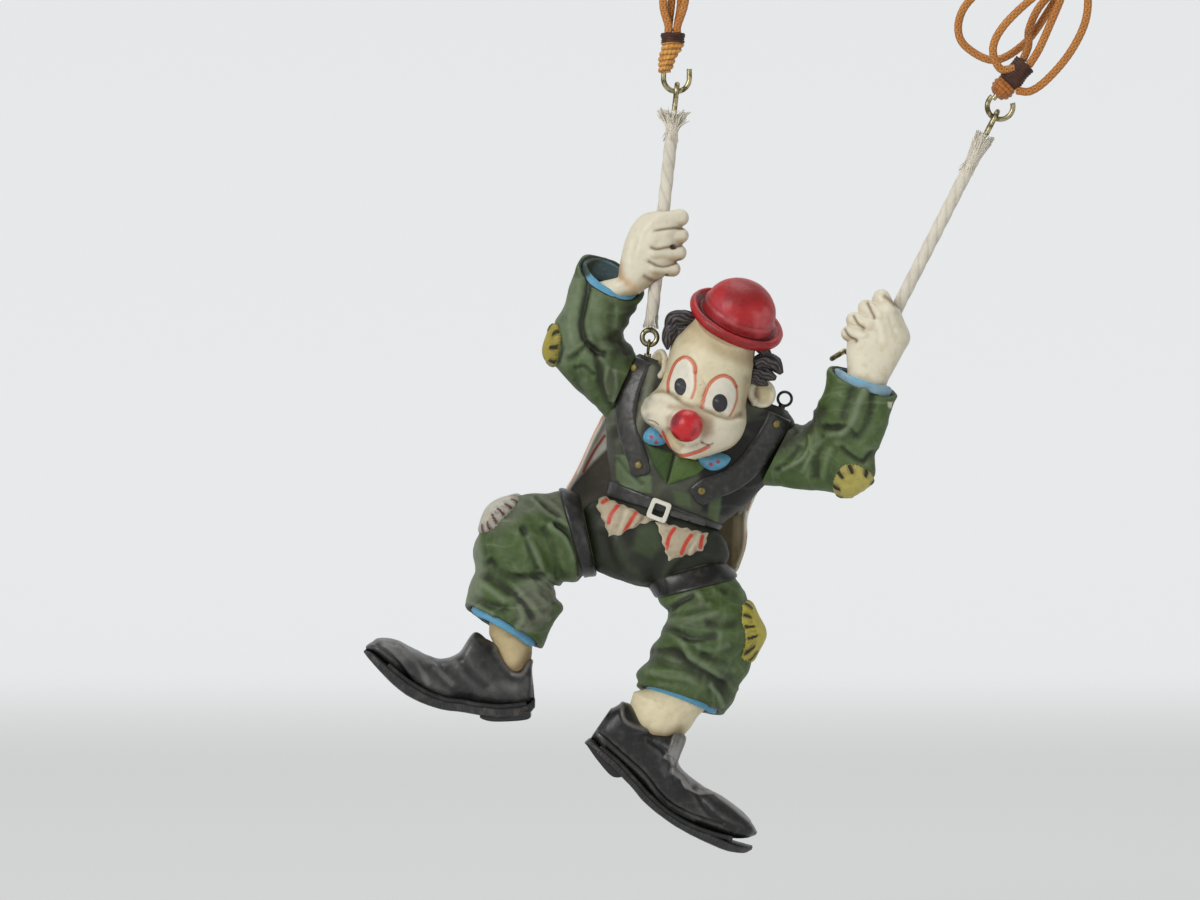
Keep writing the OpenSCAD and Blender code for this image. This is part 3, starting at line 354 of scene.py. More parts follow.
class Skin:
    """Grids of points joined into one mesh, with their paint, and a UV map in mm along and round."""

    def __init__(self):
        self.points, self.colour, self.corners, self.uv, self.sizes = [], [], [], [], []
        self.count = 0

    def take(self, faces, uv):
        self.corners.append(faces.ravel() + self.count)
        self.uv.append(uv.reshape(-1, 2))
        self.sizes.append(np.full(len(faces), faces.shape[1]))

    def add(self, points, colour, closed=True, caps=(True, True), looped=False):
        """A grid of rows, closed round or open, with a fan over each end that has a cap. A closed
        one with no caps is a plate, whose two sides meet at its ends. A looped one has no ends: its
        last row joins its first."""
        points = np.array(points, float)
        rows, columns = points.shape[:2]
        if closed and not looped and not any(caps):
            ends = [0, rows - 1]
            points[ends] = (points[ends] + points[ends, ::-1]) / 2
        caps = (False, False) if looped else caps
        colour = np.broadcast_to(colour, points.shape).reshape(-1, 3)
        ids = np.arange(rows * columns).reshape(rows, columns)
        wide = np.hstack([ids, ids[:, :1]]) if closed else ids
        wide = np.vstack([wide, wide[:1]]) if looped else wide
        ahead = np.diff(points, axis=0, append=points[:1])[: len(wide) - 1]
        steps = np.linalg.norm(ahead, axis=-1).mean(1)
        along = np.concatenate([[0], np.cumsum(steps)])
        girth = np.linalg.norm(points - np.roll(points, 1, 1), axis=-1).sum(1).mean()
        measure = np.stack(
            np.broadcast_arrays(along[:, None], np.linspace(0, girth, wide.shape[1])[None]), -1
        )

        def corners(grid):
            four = [grid[:-1, :-1], grid[:-1, 1:], grid[1:, 1:], grid[1:, :-1]]
            return np.stack(four, 2).reshape(-1, 4, *grid.shape[2:])

        quads, quad_uv = corners(wide), corners(measure)
        flat = points.reshape(-1, 3)
        fans, middles, tints = [], [], []
        for row, wanted in zip((0, rows - 1), caps):
            if wanted:
                hub = rows * columns + len(middles)
                middles.append(points[row].mean(0))
                tints.append(colour[ids[row]].mean(0))
                ring = wide[row] if closed else np.append(ids[row], ids[row, 0])
                pair = (ring[1:], ring[:-1]) if row == 0 else (ring[:-1], ring[1:])
                fans.append(np.stack([*pair, np.full(len(ring) - 1, hub)], 1))
        if middles:
            flat = np.vstack([flat, middles])
            colour = np.vstack([colour, tints])
        tris = np.vstack(fans) if fans else np.zeros((0, 3), int)
        split = np.vstack([quads[:, :3], quads[:, [0, 2, 3]], tris])
        a, b, c = (flat[split[:, k]] for k in range(3))
        if closed and (a * np.cross(b, c)).sum() < 0:
            quads, quad_uv, tris = quads[:, ::-1], quad_uv[:, ::-1], tris[:, ::-1]
        self.take(quads, quad_uv)
        if len(tris):
            self.take(tris, np.stack([flat[tris][..., 0], flat[tris][..., 2]], -1))
        self.points.append(flat)
        self.colour.append(colour)
        self.count += len(flat)
        return self

    def lay(self, made, **shape):
        """Adds the grid of a canvas, raised and painted."""
        return self.add(made.raised(), made.colour, **shape)

    def plate(self, made):
        return self.lay(made, caps=(False, False))

    def ring(self, made):
        return self.lay(made, looped=True)

    def mesh(self, name):
        """The mesh of all the grids. Points that meet are merged, which closes thin edges."""
        data = bpy.data.meshes.new(name)
        points = np.vstack(self.points)
        corners, sizes = np.concatenate(self.corners), np.concatenate(self.sizes)
        data.vertices.add(len(points))
        data.vertices.foreach_set("co", (points * MM).astype(np.float32).ravel())
        data.loops.add(len(corners))
        data.loops.foreach_set("vertex_index", corners.astype(np.int32))
        data.polygons.add(len(sizes))
        starts = np.concatenate([[0], np.cumsum(sizes)[:-1]])
        data.polygons.foreach_set("loop_start", starts.astype(np.int32))
        data.polygons.foreach_set("use_smooth", np.ones(len(sizes), bool))
        data.update(calc_edges=True)
        uv = data.uv_layers.new(name="measure")
        uv.data.foreach_set("uv", np.vstack(self.uv).astype(np.float32).ravel())
        lay_paint(data, np.vstack(self.colour))
        work = bmesh.new()
        work.from_mesh(data)
        bmesh.ops.remove_doubles(work, verts=work.verts, dist=1e-6)
        work.to_mesh(data)
        work.free()
        return data


def lay_paint(data, colour):
    paint = data.attributes.new("paint", "FLOAT_COLOR", "POINT")
    rgba = np.hstack([np.clip(colour, 0, 1), np.ones((len(colour), 1))])
    paint.data.foreach_set("color", rgba.astype(np.float32).ravel())


def piece(name, data, material, node, body="figure"):
    """Puts a mesh into the scene as a finished piece that rides on a body and stands for a node."""
    data = data.mesh(name) if isinstance(data, Skin) else data
    made = bpy.data.objects.new(name, data)
    bpy.context.scene.collection.objects.link(made)
    made.data.materials.append(material)
    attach(made, body)
    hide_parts(node)
    return made


class Wire:
    """A socket of a material. Sums on it are written as Python and become Math nodes."""

    def __init__(self, finish, socket):
        self.finish, self.socket = finish, socket

    def sum(self, operation, *values):
        inputs = dict(enumerate(values))
        return self.finish.node("ShaderNodeMath", {"operation": operation}, inputs)

    def __add__(self, other):
        return self.sum("ADD", self, other)

    def __sub__(self, other):
        return self.sum("SUBTRACT", self, other)

    def __rsub__(self, other):
        return self.sum("SUBTRACT", other, self)

    def __mul__(self, other):
        return self.sum("MULTIPLY", self, other)

    __radd__, __rmul__ = __add__, __mul__

    def sine(self):
        return self.sum("SINE", self)

    def part(self, low, high):
        """Nought below low and one above high."""
        settings = {"interpolation_type": "SMOOTHSTEP"}
        inputs = {"Value": self, "From Min": low, "From Max": high}
        return self.finish.node("ShaderNodeMapRange", settings, inputs)


class Finish:
    """A material, or the world, that is built node by node."""

    def __init__(self, name, world=None):
        self.material = world or bpy.data.materials.new(name)
        self.material.use_nodes = True
        self.tree = self.material.node_tree
        self.tree.nodes.clear()
        self.place = self.node("ShaderNodeTexCoord", {}, {}, "Object")

    def node(self, kind, settings, inputs, out=0):
        """One node: its settings first, then the values or links of its sockets."""
        made = self.tree.nodes.new(kind)
        for key, value in settings.items():
            setattr(made, key, value)
        for key, value in inputs.items():
            if isinstance(value, Wire):
                self.tree.links.new(value.socket, made.inputs[key])
            elif value is not None:
                made.inputs[key].default_value = value
        return Wire(self, made.outputs[out]) if made.outputs else made

    def noise(self, scale, detail=3.0, vector=None):
        inputs = {"Vector": vector or self.place, "Scale": scale, "Detail": detail, "Roughness": 0.55}
        return self.node("ShaderNodeTexNoise", {}, inputs)

    def scaled(self, colour, share):
        settings = {"operation": "SCALE"}
        return self.node("ShaderNodeVectorMath", settings, {"Vector": colour, "Scale": share})

    def blend(self, a, b, share):
        return self.node("ShaderNodeMix", {"data_type": "RGBA"}, {0: share, 6: a, 7: b}, 2)

    def bump(self, height, distance, strength):
        inputs = {"Strength": strength, "Distance": distance, "Height": height}
        return self.node("ShaderNodeBump", {}, inputs)

    def end(self, shader):
        self.node("ShaderNodeOutputMaterial", {}, {"Surface": shader})
        return self.material

    def paint(self, **inputs):
        """The Principled shader, its sockets named with underscores for spaces."""
        named = {key.replace("_", " "): value for key, value in inputs.items()}
        return self.end(self.node("ShaderNodeBsdfPrincipled", {}, named))


def rgba(colour):
    return (*[float(c) for c in colour], 1.0)


def painted(name, rough_to=0.52, coat=0.1, weave=0.0, grain=0.12, spread=0.2, shine=0.3):
    """Brush-painted resin. The paint attribute, clouded by a coarse and a fine noise; cloth adds a
    print of fine threads, the product of two sines of the UV map; lacquer lies on it unevenly."""
    f = Finish(name)
    colour = f.node("ShaderNodeAttribute", {"attribute_name": "paint"}, {}, "Color")
    cloud, dust = f.noise(260, 4), f.noise(2400, 2)
    share = 1 + (cloud - 0.5) * (2 * spread) + (dust - 0.5) * spread
    height = cloud * 0.5 + dust * grain
    if weave:
        uv = f.node("ShaderNodeUVMap", {"uv_map": "measure"}, {})
        axes = [f.node("ShaderNodeSeparateXYZ", {}, {"Vector": uv}, k) for k in (0, 1)]
        pitch = FULL_TURN / bpy.context.scene.toy.thread_pitch
        threads = (axes[0] * pitch).sine() * (axes[1] * pitch).sine()
        worn = f.noise(70, 2).part(0.42, 0.66) * weave
        share = share + threads * worn * 0.28
        height = height + threads * worn * 0.35
    gloss = rough_to + (f.noise(120, 3) - 0.5) * 0.3 + (dust - 0.5) * 0.1
    return f.paint(
        Base_Color=f.scaled(colour, share),
        Roughness=gloss,
        Specular_IOR_Level=shine,
        Coat_Weight=coat,
        Coat_Roughness=0.28,
        Normal=f.bump(height, 0.00022, 0.8),
    )


def cotton():
    """Soft off-white yarn. Fine fibres are a noise stretched along the UV map; soil is a coarse one."""
    f = Finish("cotton")
    colour = f.node("ShaderNodeAttribute", {"attribute_name": "paint"}, {}, "Color")
    uv = f.node("ShaderNodeUVMap", {"uv_map": "measure"}, {})
    lay = f.node("ShaderNodeVectorMath", {"operation": "MULTIPLY"}, {0: uv, 1: (0.5, 5, 1)})
    fibre, soil = f.noise(2.0, 3, lay), f.noise(150, 3)
    share = 0.88 + fibre * 0.2 + (soil - 0.5) * 0.14
    return f.paint(
        Base_Color=f.scaled(colour, share),
        Roughness=0.95,
        Sheen_Weight=0.25,
        Normal=f.bump(fibre + f.noise(1800, 2) * 0.6, 0.00035, 0.9),
    )


def silk():
    """Shiny braid. Two sines that run slantwise over the UV map, multiplied, give the crossing
    strands, and a noise stretched along it their filaments."""
    f = Finish("silk")
    colour = f.node("ShaderNodeAttribute", {"attribute_name": "paint"}, {}, "Color")
    uv = f.node("ShaderNodeUVMap", {"uv_map": "measure"}, {})
    lay = f.node("ShaderNodeVectorMath", {"operation": "MULTIPLY"}, {0: uv, 1: (1.2, 6, 1)})
    fibre = f.noise(2.4, 2, lay)
    axes = [f.node("ShaderNodeSeparateXYZ", {}, {"Vector": uv}, k) for k in (0, 1)]
    along, round_it = axes[0] * (FULL_TURN / BRAID_PITCH), axes[1] * (BRAID_STRANDS / LINE_RADIUS)
    crossing = (along + round_it).sine() * (along - round_it).sine()
    # The colour rises and falls with the crossing strands: painted highlight and shade of the braid
    return f.paint(
        Base_Color=f.scaled(colour, 0.8 + fibre * 0.3 + crossing * 0.34),
        Roughness=0.5 - fibre * 0.16,
        Sheen_Weight=0.15,
        Normal=f.bump(fibre * 0.6 + crossing * 0.5, 0.0003, 0.8),
    )


def old_metal(name, rough_to, from_x=None):
    """Drawn wire gone dull. The bright metal shows where a coarse noise is high. From a place on X
    on, if one is given, it is painted black."""
    f = Finish(name)
    worn = f.noise(420, 4).part(0.36, 0.62)
    scratch = f.noise(2600, 2)
    colour, metallic = f.blend(rgba(DULL_BRASS), rgba(BRASS), worn), 1.0
    if from_x is not None:
        black = f.node("ShaderNodeSeparateXYZ", {}, {"Vector": f.place}, 0).part(from_x, from_x + 0.002)
        colour = f.blend(colour, f.blend(rgba(BLACK), rgba(PALE_GREY), worn * 0.4), black)
        metallic = 1 - black * 0.8
    return f.paint(
        Base_Color=f.scaled(colour, 0.85 + scratch * 0.3),
        Metallic=metallic,
        Roughness=rough_to + 0.22 - worn * 0.2 + scratch * 0.08,
        Normal=f.bump(scratch + worn * 0.5, 0.00008, 0.6),
    )


def in_direction(at, direction):
    """Three axes at a point, the last one along the direction and the second one nearest to Y."""
    z = unit(direction)
    y = np.array([0.0, 1.0, 0.0])
    x = unit(np.cross(y, z)) if abs(z[1]) < 0.99 else np.array([1.0, 0.0, 0.0])
    return np.asarray(at, float), np.stack([x, np.cross(z, x), z])


def turned(profile, columns, at=(0, 0, 0), direction=(0, 0, 1), ripple=None):
    """Points of (radius, height) carried round an axis; ripple(angle, height) is added to r."""
    profile = np.asarray(profile, float)
    t = turns(columns)[None]
    r, h = profile[:, :1], np.broadcast_to(profile[:, 1:2], (len(profile), columns))
    if ripple:
        r = r + ripple(t, h)
    origin, axes = in_direction(at, direction)
    local = np.stack([r * np.cos(t), r * np.sin(t), h], -1)
    return origin + local @ axes


def round_the_path(path, radius, columns):
    """A ring of points across each point of a path. The radius is a number, or depends on both."""
    path = np.asarray(path, float)
    ahead = unit(np.gradient(path, axis=0))
    side = unit(np.cross(ahead, NEARLY_Y))
    over = np.cross(side, ahead)
    t = turns(columns)
    round_it = side[:, None] * np.cos(t)[:, None] + over[:, None] * np.sin(t)[:, None]
    radius = np.broadcast_to(radius, (len(path), columns))
    return path[:, None] + round_it * radius[..., None]


def even_path(rows, pitch):
    """A smooth curve through the rows, in steps of equal length."""
    fine = curve(rows, np.linspace(0, len(rows) - 1, 60 * len(rows)))
    far = np.concatenate([[0], np.cumsum(np.linalg.norm(np.diff(fine, axis=0), axis=1))])
    want = np.linspace(0, far[-1], max(int(round(far[-1] / pitch)), 6) + 1)
    return np.stack([np.interp(want, far, column) for column in fine.T], 1), far[-1]


def close_ends(grid, rise):
    """Draws the first and the last ring of a tube in over a rounded end of that height."""
    first, last = grid[0].mean(0), grid[-1].mean(0)
    back, on = unit(first - grid[1].mean(0)), unit(last - grid[-2].mean(0))
    heads, tails = [], []
    for a in (80, 55, 28):
        c, s = math.cos(math.radians(a)), math.sin(math.radians(a))
        heads.append(first + (grid[0] - first) * c + back * rise * s)
        tails.insert(0, last + (grid[-1] - last) * c + on * rise * s)
    return np.concatenate([heads, grid, tails])


# Ribs of the forms, as in the CAD source, in mm: edge A, edge B, front, back, and lean if there is one
RIBS = {
    "right_sleeve": [
        [-18.5, -169.5, -30.5, -197, -11, 17], [-21.5, -165, -38.5, -189, -11, 16],
        [-23.5, -162, -50.5, -178, -12, 14], [-22, -158.5, -56, -167.5, -13, 13], [-20, -154.5, -52.5, -156, -13, 12],
        [-17.8, -150, -47.5, -146, -12, 13, -3], [-15.8, -146, -43.5, -130.5, -10, 15, -7.5],
    ],
    "left_sleeve": [
        [46.5, -199, 33.5, -224.5, -11, 17], [50.5, -199, 44, -226, -12, 15], [54, -198, 59.5, -227.5, -15, 12],
        [55.5, -195, 72, -228.5, -19, 6], [56.5, -191.5, 81, -221, -24, 0], [58.5, -187.5, 82.5, -209, -27, -5, 1],
        [61.5, -176, 90.5, -188.5, -29, -6.5, 3.5],
    ],
    "right_leg": [
        [-42, -228.5, -35, -261.5, -12, 19], [-52, -227, -41, -264, -15, 19], [-61.5, -228, -47.5, -266, -18, 18],
        [-73.5, -230, -51, -267, -22, 16], [-83, -239.5, -52.5, -269, -23, 15], [-86.5, -251, -51, -272.5, -22, 14],
        [-87, -262, -49.5, -278, -20, 14, -1], [-91, -274, -57.5, -292.5, -20, 15, -3],
    ],
    "left_leg": [
        [17.5, -256, -14.5, -264.5, -12, 19], [23.5, -263.5, -10, -272, -18, 17],
        [27.5, -271.5, -5.5, -278.5, -25, 13], [30.5, -280.5, -7.5, -285, -29, 10], [32, -291, -11.5, -291, -29, 10],
        [29, -302.5, -14.5, -298, -26, 11], [24.5, -311.5, -18.5, -304.5, -23, 12, 1],
        [19.5, -321, -18, -308.5, -22, 13, 3],
    ],
    "seat": [
        [-30, -229.5, 15.5, -243.5, -12, 20], [-38, -233, 18.5, -247, -13, 21], [-43, -240, 20, -251, -14, 22],
        [-42, -250, 20, -256, -14, 22], [-38, -258, 14, -263, -12, 20], [-30, -263, 2, -266.5, -9, 17],
        [-21, -266, -9, -268.5, -3, 11],
    ],
    "coat": [
        [-17, -169.5, 45.5, -193.5, -9, 17], [-22, -173, 48.5, -199.5, -12, 19], [-28.5, -182.5, 46, -208.5, -14, 21],
        [-31, -193, 40.5, -217.5, -15, 22], [-31, -203.5, 33.5, -227, -15, 22], [-30, -214, 26, -234.5, -14, 21],
        [-28.5, -222.5, 17.5, -241, -13, 20], [-30, -229.5, 15.5, -243.5, -12, 20],
    ],
    "skull": [
        [13, -139, 38.5, -151, -17, 8], [9, -148, 35.5, -160.5, -22, 12], [3.5, -156, 31.5, -168, -26, 14],
        [-3, -164, 31, -174.5, -28, 15], [-5.5, -173, 29.5, -182.5, -29, 14], [-8, -181.5, 27.5, -190, -31, 12],
        [-13, -187, 27.5, -195, -35, 6], [-16.5, -192.5, 27, -200, -38, 0], [-15, -198, 25, -205, -38, -4],
        [-9, -202.5, 21, -209, -37, -8], [-5, -208.5, 13, -212, -34.5, -14], [0, -213, 6, -214, -32, -20],
    ],
    "back": [
        [-32.5, -194.5, 36, -219, 13, 24.8], [-38, -205, 34, -226.5, 15, 26.5], [-44.5, -219.5, 29.5, -238, 18, 30],
        [-50, -229.8, 29, -250.5, 22, 34], [-50, -238, 25, -262.5, 24, 35],
    ],
    "right_shin": [
        [-80, -287.5, -62, -295, -12, 5], [-77, -295, -62.5, -299.5, -12, 4], [-75, -303, -62.5, -305, -11, 3],
        [-73, -309, -63.5, -310, -9, 1],
    ],
    "left_shin": [
        [-19.5, -311.5, 7.5, -321.5, -18, 4], [-21, -316.5, 3.5, -327.5, -18, 3], [-22, -323, -2, -333, -16, 0],
        [-20, -329, -8, -338, -14, -2],
    ],
    "right_hand": [
        [-26, -137.5, -17, -144.5, -7, 7], [-25, -130, -14.5, -142.5, -7.5, 8], [-23, -122, -6.5, -137, -8.5, 8.5],
        [-20, -115.5, -2, -130, -9, 8.5], [-15.5, -111, 0, -121, -9, 8], [-9.5, -109.5, 0.5, -112.5, -6, 6],
    ],
    "left_hand": [
        [69.5, -178, 86.5, -181, -25, -10], [69.3, -168, 93, -169.5, -20, -5.5], [70.5, -162.5, 96.5, -163, -17, 6],
        [73.5, -156, 94, -156, -15.5, 8], [78.5, -151, 91.5, -150, -13, 8], [84, -147, 88.5, -147, -8, 6],
    ],
    "right_shoe": [
        [-62, -304, -61, -314, -8, 0], [-63, -298, -64.5, -316.5, -12, 4], [-70.5, -301, -73.5, -317.5, -14, 6],
        [-78, -293, -82.5, -317, -14.5, 6.5], [-86, -286.5, -91, -315.5, -14.5, 6.5],
        [-93, -295, -98, -314.5, -15, 7], [-102, -297.5, -106, -311.5, -16, 8], [-111, -293.5, -114, -306.5, -17, 9],
        [-119.5, -289.5, -122, -300, -17, 9], [-127, -289, -128, -295, -15, 7], [-131.5, -292, -131.5, -293.5, -9, 1],
    ],
    "right_sole": [
        [-61, -314, -61, -318, -9, 1], [-64.5, -316.5, -64.5, -321, -13, 5], [-73.5, -317.5, -73.5, -322, -15, 7],
        [-82.5, -317, -83, -321, -15.5, 7.5], [-91, -315.5, -91.5, -319.5, -15.5, 7.5],
        [-98, -314.5, -99.5, -318.5, -16, 8], [-106, -311.5, -108.5, -315.5, -17, 9],
        [-114, -306.5, -117, -310.5, -18, 10], [-122, -300, -124.5, -303.5, -18, 10],
        [-128, -295, -130, -297.5, -16, 8], [-131.5, -293.5, -132.5, -294.5, -10, 2],
    ],
    "left_shoe": [
        [-29, -318, -37.5, -330.5, -16, -4], [-21.5, -316, -33.5, -334, -19, -1], [-14, -326, -25, -341.5, -20, 0],
        [-6, -328.5, -18.5, -348.5, -20.5, 0.5], [2, -330, -13.5, -354, -20.5, 0.5], [-1, -341, -5.5, -361, -21, 1],
        [8.5, -350, 4, -366.5, -22, 2], [17.5, -355, 13.5, -370, -23, 3], [25.5, -361, 21.5, -372, -23, 3],
        [30, -366, 27.5, -372, -20, 0], [32, -369.5, 31, -371, -14, -6],
    ],
    "left_sole": [
        [-37.5, -330.5, -40, -332.5, -17, -3], [-33.5, -334, -35.5, -336.5, -20, 0],
        [-25, -341.5, -27, -344, -21.5, 1.5], [-18.5, -348.5, -20.5, -350.5, -22, 2],
        [-13.5, -354, -15.5, -356.5, -22, 2], [-5.5, -361, -7, -363.5, -22, 2], [4, -366.5, 2.5, -369.5, -23, 3],
        [13.5, -370, 12, -374, -24, 4], [21.5, -373.5, 19.5, -377, -23.5, 3.5], [27.5, -375, 26, -378, -20, 0],
        [30, -375.5, 29.5, -377, -15, -5],
    ],
}
# Squareness, depth of the folds, folds to a rib and their slant
SHAPES = {
    "right_sleeve": (0.9, 0.045, 0.75, 1), "left_sleeve": (0.9, 0.045, 0.75, -1), "right_leg": (0.9, 0.06, 0.7, 1),
    "left_leg": (0.9, 0.06, 0.7, -1), "seat": (0.9,), "coat": (0.85,), "skull": (0.92,), "back": (0.85,),
    "right_shin": (1,), "left_shin": (1,), "right_hand": (0.9,), "left_hand": (0.9,), "right_shoe": (0.8,),
    "left_shoe": (0.8,), "right_sole": (0.35,), "left_sole": (0.35,),
}
FORMS = {name: Form(ribs, *SHAPES[name]) for name, ribs in RIBS.items()}
MOUTH_IN, MOUTH_DEPTH = 0.84, 0.5

# The free lines, from the whipping to the knot, in mm
RIGHT_ROUTES = [
    [[-4.8, -1.9, -35], [-4.9, -1.9, -32], [-7, -2, -24], [-6.5, -2, -16], [-3.5, -2, -8], [-3.4, -2, -4]],
    [[-4.8, 1.9, -35], [-4.8, 1.9, -32], [-3.8, 2.2, -24], [-3.2, 2.2, -16], [-3, 1.9, -8], [-3, 1.9, -4]],
    [[-1.2, 1.9, -35], [-1.1, 1.9, -32], [0.2, 2.2, -24], [0.6, 2.2, -16], [0.6, 1.9, -8], [0.6, 1.9, -4]],
    [[-1.2, -1.9, -35], [-1.1, -1.9, -32], [1.6, -2, -24], [2.6, -2, -16], [1, -1.9, -8], [0.9, -1.9, -4]],
]
LEFT_ROUTES = [
    [[146.3, -1.6, -48.8], [150.5, -2, -42], [155, -2, -32], [160, -1.5, -20], [162, -1.5, -12]],
    [[144.2, 2.6, -46.1], [146.6, 4, -40], [147, 5, -33], [151, 5, -24], [158, 3, -16], [161, 2, -12]],
    [[140, -3, -50], [134, -4.5, -50], [131, -6, -42], [135, -7, -33], [146, -7, -22], [159, -4, -12.5]],
    [
        [141.5, -1, -59.2], [147, -4, -59.5], [154, -5.5, -54.5], [163, -5, -44],
        [169.5, -4, -31.5], [171, -3, -20], [168.3, -2.2, -10.8],
    ],
    [
        [163, 5.5, -12], [156, 8, -24], [146, 10, -38], [133, 10, -45.5], [121, 10, -40],
        [117.5, 10, -32], [121, 10, -22], [132, 9, -13], [148, 7, -9], [159, 3, -8],
    ],
]
WHIP_AT, WHIP_LENGTH, WRAP_FOOT = (-3, 0, -35), 4, (-6.9, 0, -51.5)
LEFT_KNOT_AT, LEFT_KNOT_DIR = (164, 0, -6), (0.67, 0, 0.74)
LEFT_WHIP_FOOT, LEFT_WHIP_DIR = (137.5, 0, -56), (math.sin(math.radians(42)), 0, math.cos(math.radians(42)))
LINE_RADIUS, KNOT_RADIUS = 1.7, 4.6
BRAID_PITCH, BRAID_STRANDS, STRAND_PITCH = 1.9, 3, 2.4


class Make(bpy.types.Operator):
    """A step in making the toy."""

    bl_idname = "toy.make"
    bl_label = "Make"
    bl_options = {"UNDO"}


def braided_line(route):
    """A tube along the route. Two sets of strands wind against each other, and the radius is the
    line's, drawn in where neither |sin(3t + as)| nor |sin(3t - as)| is near one."""
    path, length = even_path(route, 0.36)
    s = np.linspace(0, length, len(path))[:, None]
    t = turns(30)[None]
    turn = FULL_TURN * s / STRAND_PITCH / 2
    one, two = np.abs(np.sin(3 * t + turn)), np.abs(np.sin(3 * t - turn))
    over = np.maximum(one, two) ** 0.6
    points = round_the_path(path, LINE_RADIUS * (0.93 + 0.07 * over), 30)
    cloud = 0.5 + 0.5 * rough(points, 5, 3)
    # Darker where the radius is drawn in between the strands, paler in clouds on their crowns: painted shade and
    # highlight
    colour = mix(SILK * 0.6, mix(SILK * 1.1, PALE_SILK, cloud * 0.6), smooth_step(0.66, 0.98, over))
    return points, colour, path, length


def knot_skin(at, direction):
    """The bundle tied off: a drum whose radius ripples as |sin| of the height plus half the angle, so
    that the turns of line climb round it."""
    h = np.linspace(-4, 4, 46)
    profile = np.stack([np.full(46, KNOT_RADIUS - 0.3), h], 1)

    def ripple(t, h):
        return 1.3 * np.abs(np.sin(math.pi * (h / 2.5) + t / 2)) ** 0.7 - 0.9 * smooth_step(3.0, 4.0, abs(h))

    points = turned(profile, 72, at, direction, ripple)
    # Darker where the surface lies hollow between the turns: painted shade
    low = hollow(np.linalg.norm(points - points.mean(1, keepdims=True), axis=-1), 2)
    pale = mix(SILK * 1.1, PALE_SILK, 0.5 + 0.5 * rough(points, 3, 3))
    return Skin().add(points, mix(pale, SILK * 0.45, smooth_step(-0.05, 0.2, low)))


def make_lines():
    material = silk()
    for side, at, direction, routes in (
        ("right", (0, 0, 0), (0, 0, 1), RIGHT_ROUTES), ("left", LEFT_KNOT_AT, LEFT_KNOT_DIR, LEFT_ROUTES),
    ):
        body, node = side + "_lines", side + "_line_knot"
        knot = piece(side + "_tied_knot", knot_skin(at, direction), material, node, body)
        for i, route in enumerate(routes):
            points, colour, path, length = braided_line(route)
            name = f"{side}_silky_line_{i + 1}"
            skin = Skin().add(points, colour)
            line = piece(name, skin, material, f"{side}_line_{i + 1}", body)
            [c * MM for c in route[0]]
            length * MM
            "hanging" if side == "right" else "loose"
            (path * MM).tolist()


class MakeLines(Make):
    """Nine silky lines, each a braided tube on its own route, with the two knots that hold them"""

    bl_idname = "toy.lines"
    bl_label = "Silky lines and knots"

    def execute(self, context):
        make_lines()
        return {"FINISHED"}


def make_bindings():
    brown, golden = painted("waxed_binding", 0.6, 0.1, 0, 0.3, 0.5), silk()

    def wraps(count, height, rise):
        """Turns of line that climb round: |sin| of so many half turns plus half the angle, to 0.8."""
        return lambda t, h: rise * np.abs(np.sin(math.pi * count * h / height + t / 2)) ** 0.8

    def wound(profile, columns, at, direction, ripple, colour):
        """A smooth profile turned round the axis with that ripple, darker with painted shade where it is hollow."""
        rows = np.array(profile, float)
        fine = curve(rows, np.linspace(0, len(rows) - 1, 22 * len(rows)))
        points = turned(fine, columns, at, direction, ripple)
        cloud = 0.75 + 0.35 * rough(points, 2.2, 3)
        low = hollow(np.linalg.norm(points - points.mean(1, keepdims=True), axis=-1), 2)
        return Skin().add(points, colour * (cloud - np.clip(low * 3, 0, 0.5))[..., None])

    band = wound([[4.7, 0], [5.0, -1], [4.6, -2.5], [4.8, -4]], 60, WHIP_AT, (0, 0, 1), wraps(4, 4, 0.3), BINDING)
    piece("right_brown_whipping", band, brown, "right_whipping", "right_lines")
    foot = [[4.1, 0], [4.9, 3], [4.4, 7], [4.7, 11]]
    band = wound(foot, 60, LEFT_WHIP_FOOT, LEFT_WHIP_DIR, wraps(9, 11, 0.3), BINDING)
    piece("left_brown_whipping", band, brown, "left_whipping", "left_lines")

    # The wrapped line: a cone from the whipping down to the hook, whose radius has the same turns
    # on it, a fine ripple for the strands, and a slow one that makes it uneven
    u = np.linspace(0, 1, 90)[:, None]
    t = turns(60)[None]
    top = np.array(WHIP_AT) - [0, 0, WHIP_LENGTH]
    middle = top + (np.array(WRAP_FOOT) - top) * u[..., None]
    r = 4.2 - 2.3 * u + 0.75 * np.abs(np.sin(math.pi * 5.5 * u + t / 2)) ** 0.8
    r = r + 0.12 * np.sin(14 * t + 60 * u) + 0.35 * np.sin(3 * t + 9 * u)
    points = middle + np.stack([r * np.cos(t), r * np.sin(t), 0 * r], -1)
    pale = mix(SILK * 1.1, PALE_SILK * 1.1, 0.6 + 0.6 * rough(points, 2.2, 5))
    # Darker between the turns and lighter on them: painted shade and highlight
    colour = pale * (0.5 + 0.6 * np.abs(np.sin(math.pi * 5.5 * u + t / 2)))[..., None]
    skin = Skin().add(points, colour)
    piece("right_wrapped_line", skin, golden, "right_cord_wrap", "right_lines")
    tail = [[2.2, -7], [3.9, -5], [4.5, -2.5], [4.0, -0.2]]
    skin = wound(tail, 60, LEFT_WHIP_FOOT, LEFT_WHIP_DIR, wraps(3.5, 7, 0.6), SILK * 1.2)
    piece("left_wrapped_line", skin, golden, "left_cord_wrap", "left_lines")


class MakeBindings(Make):
    """The brown whippings, and the line that is wrapped round the shank of each open hook"""

    bl_idname = "toy.bindings"
    bl_label = "Whippings and wrapped line"

    def execute(self, context):
        make_bindings()
        return {"FINISHED"}


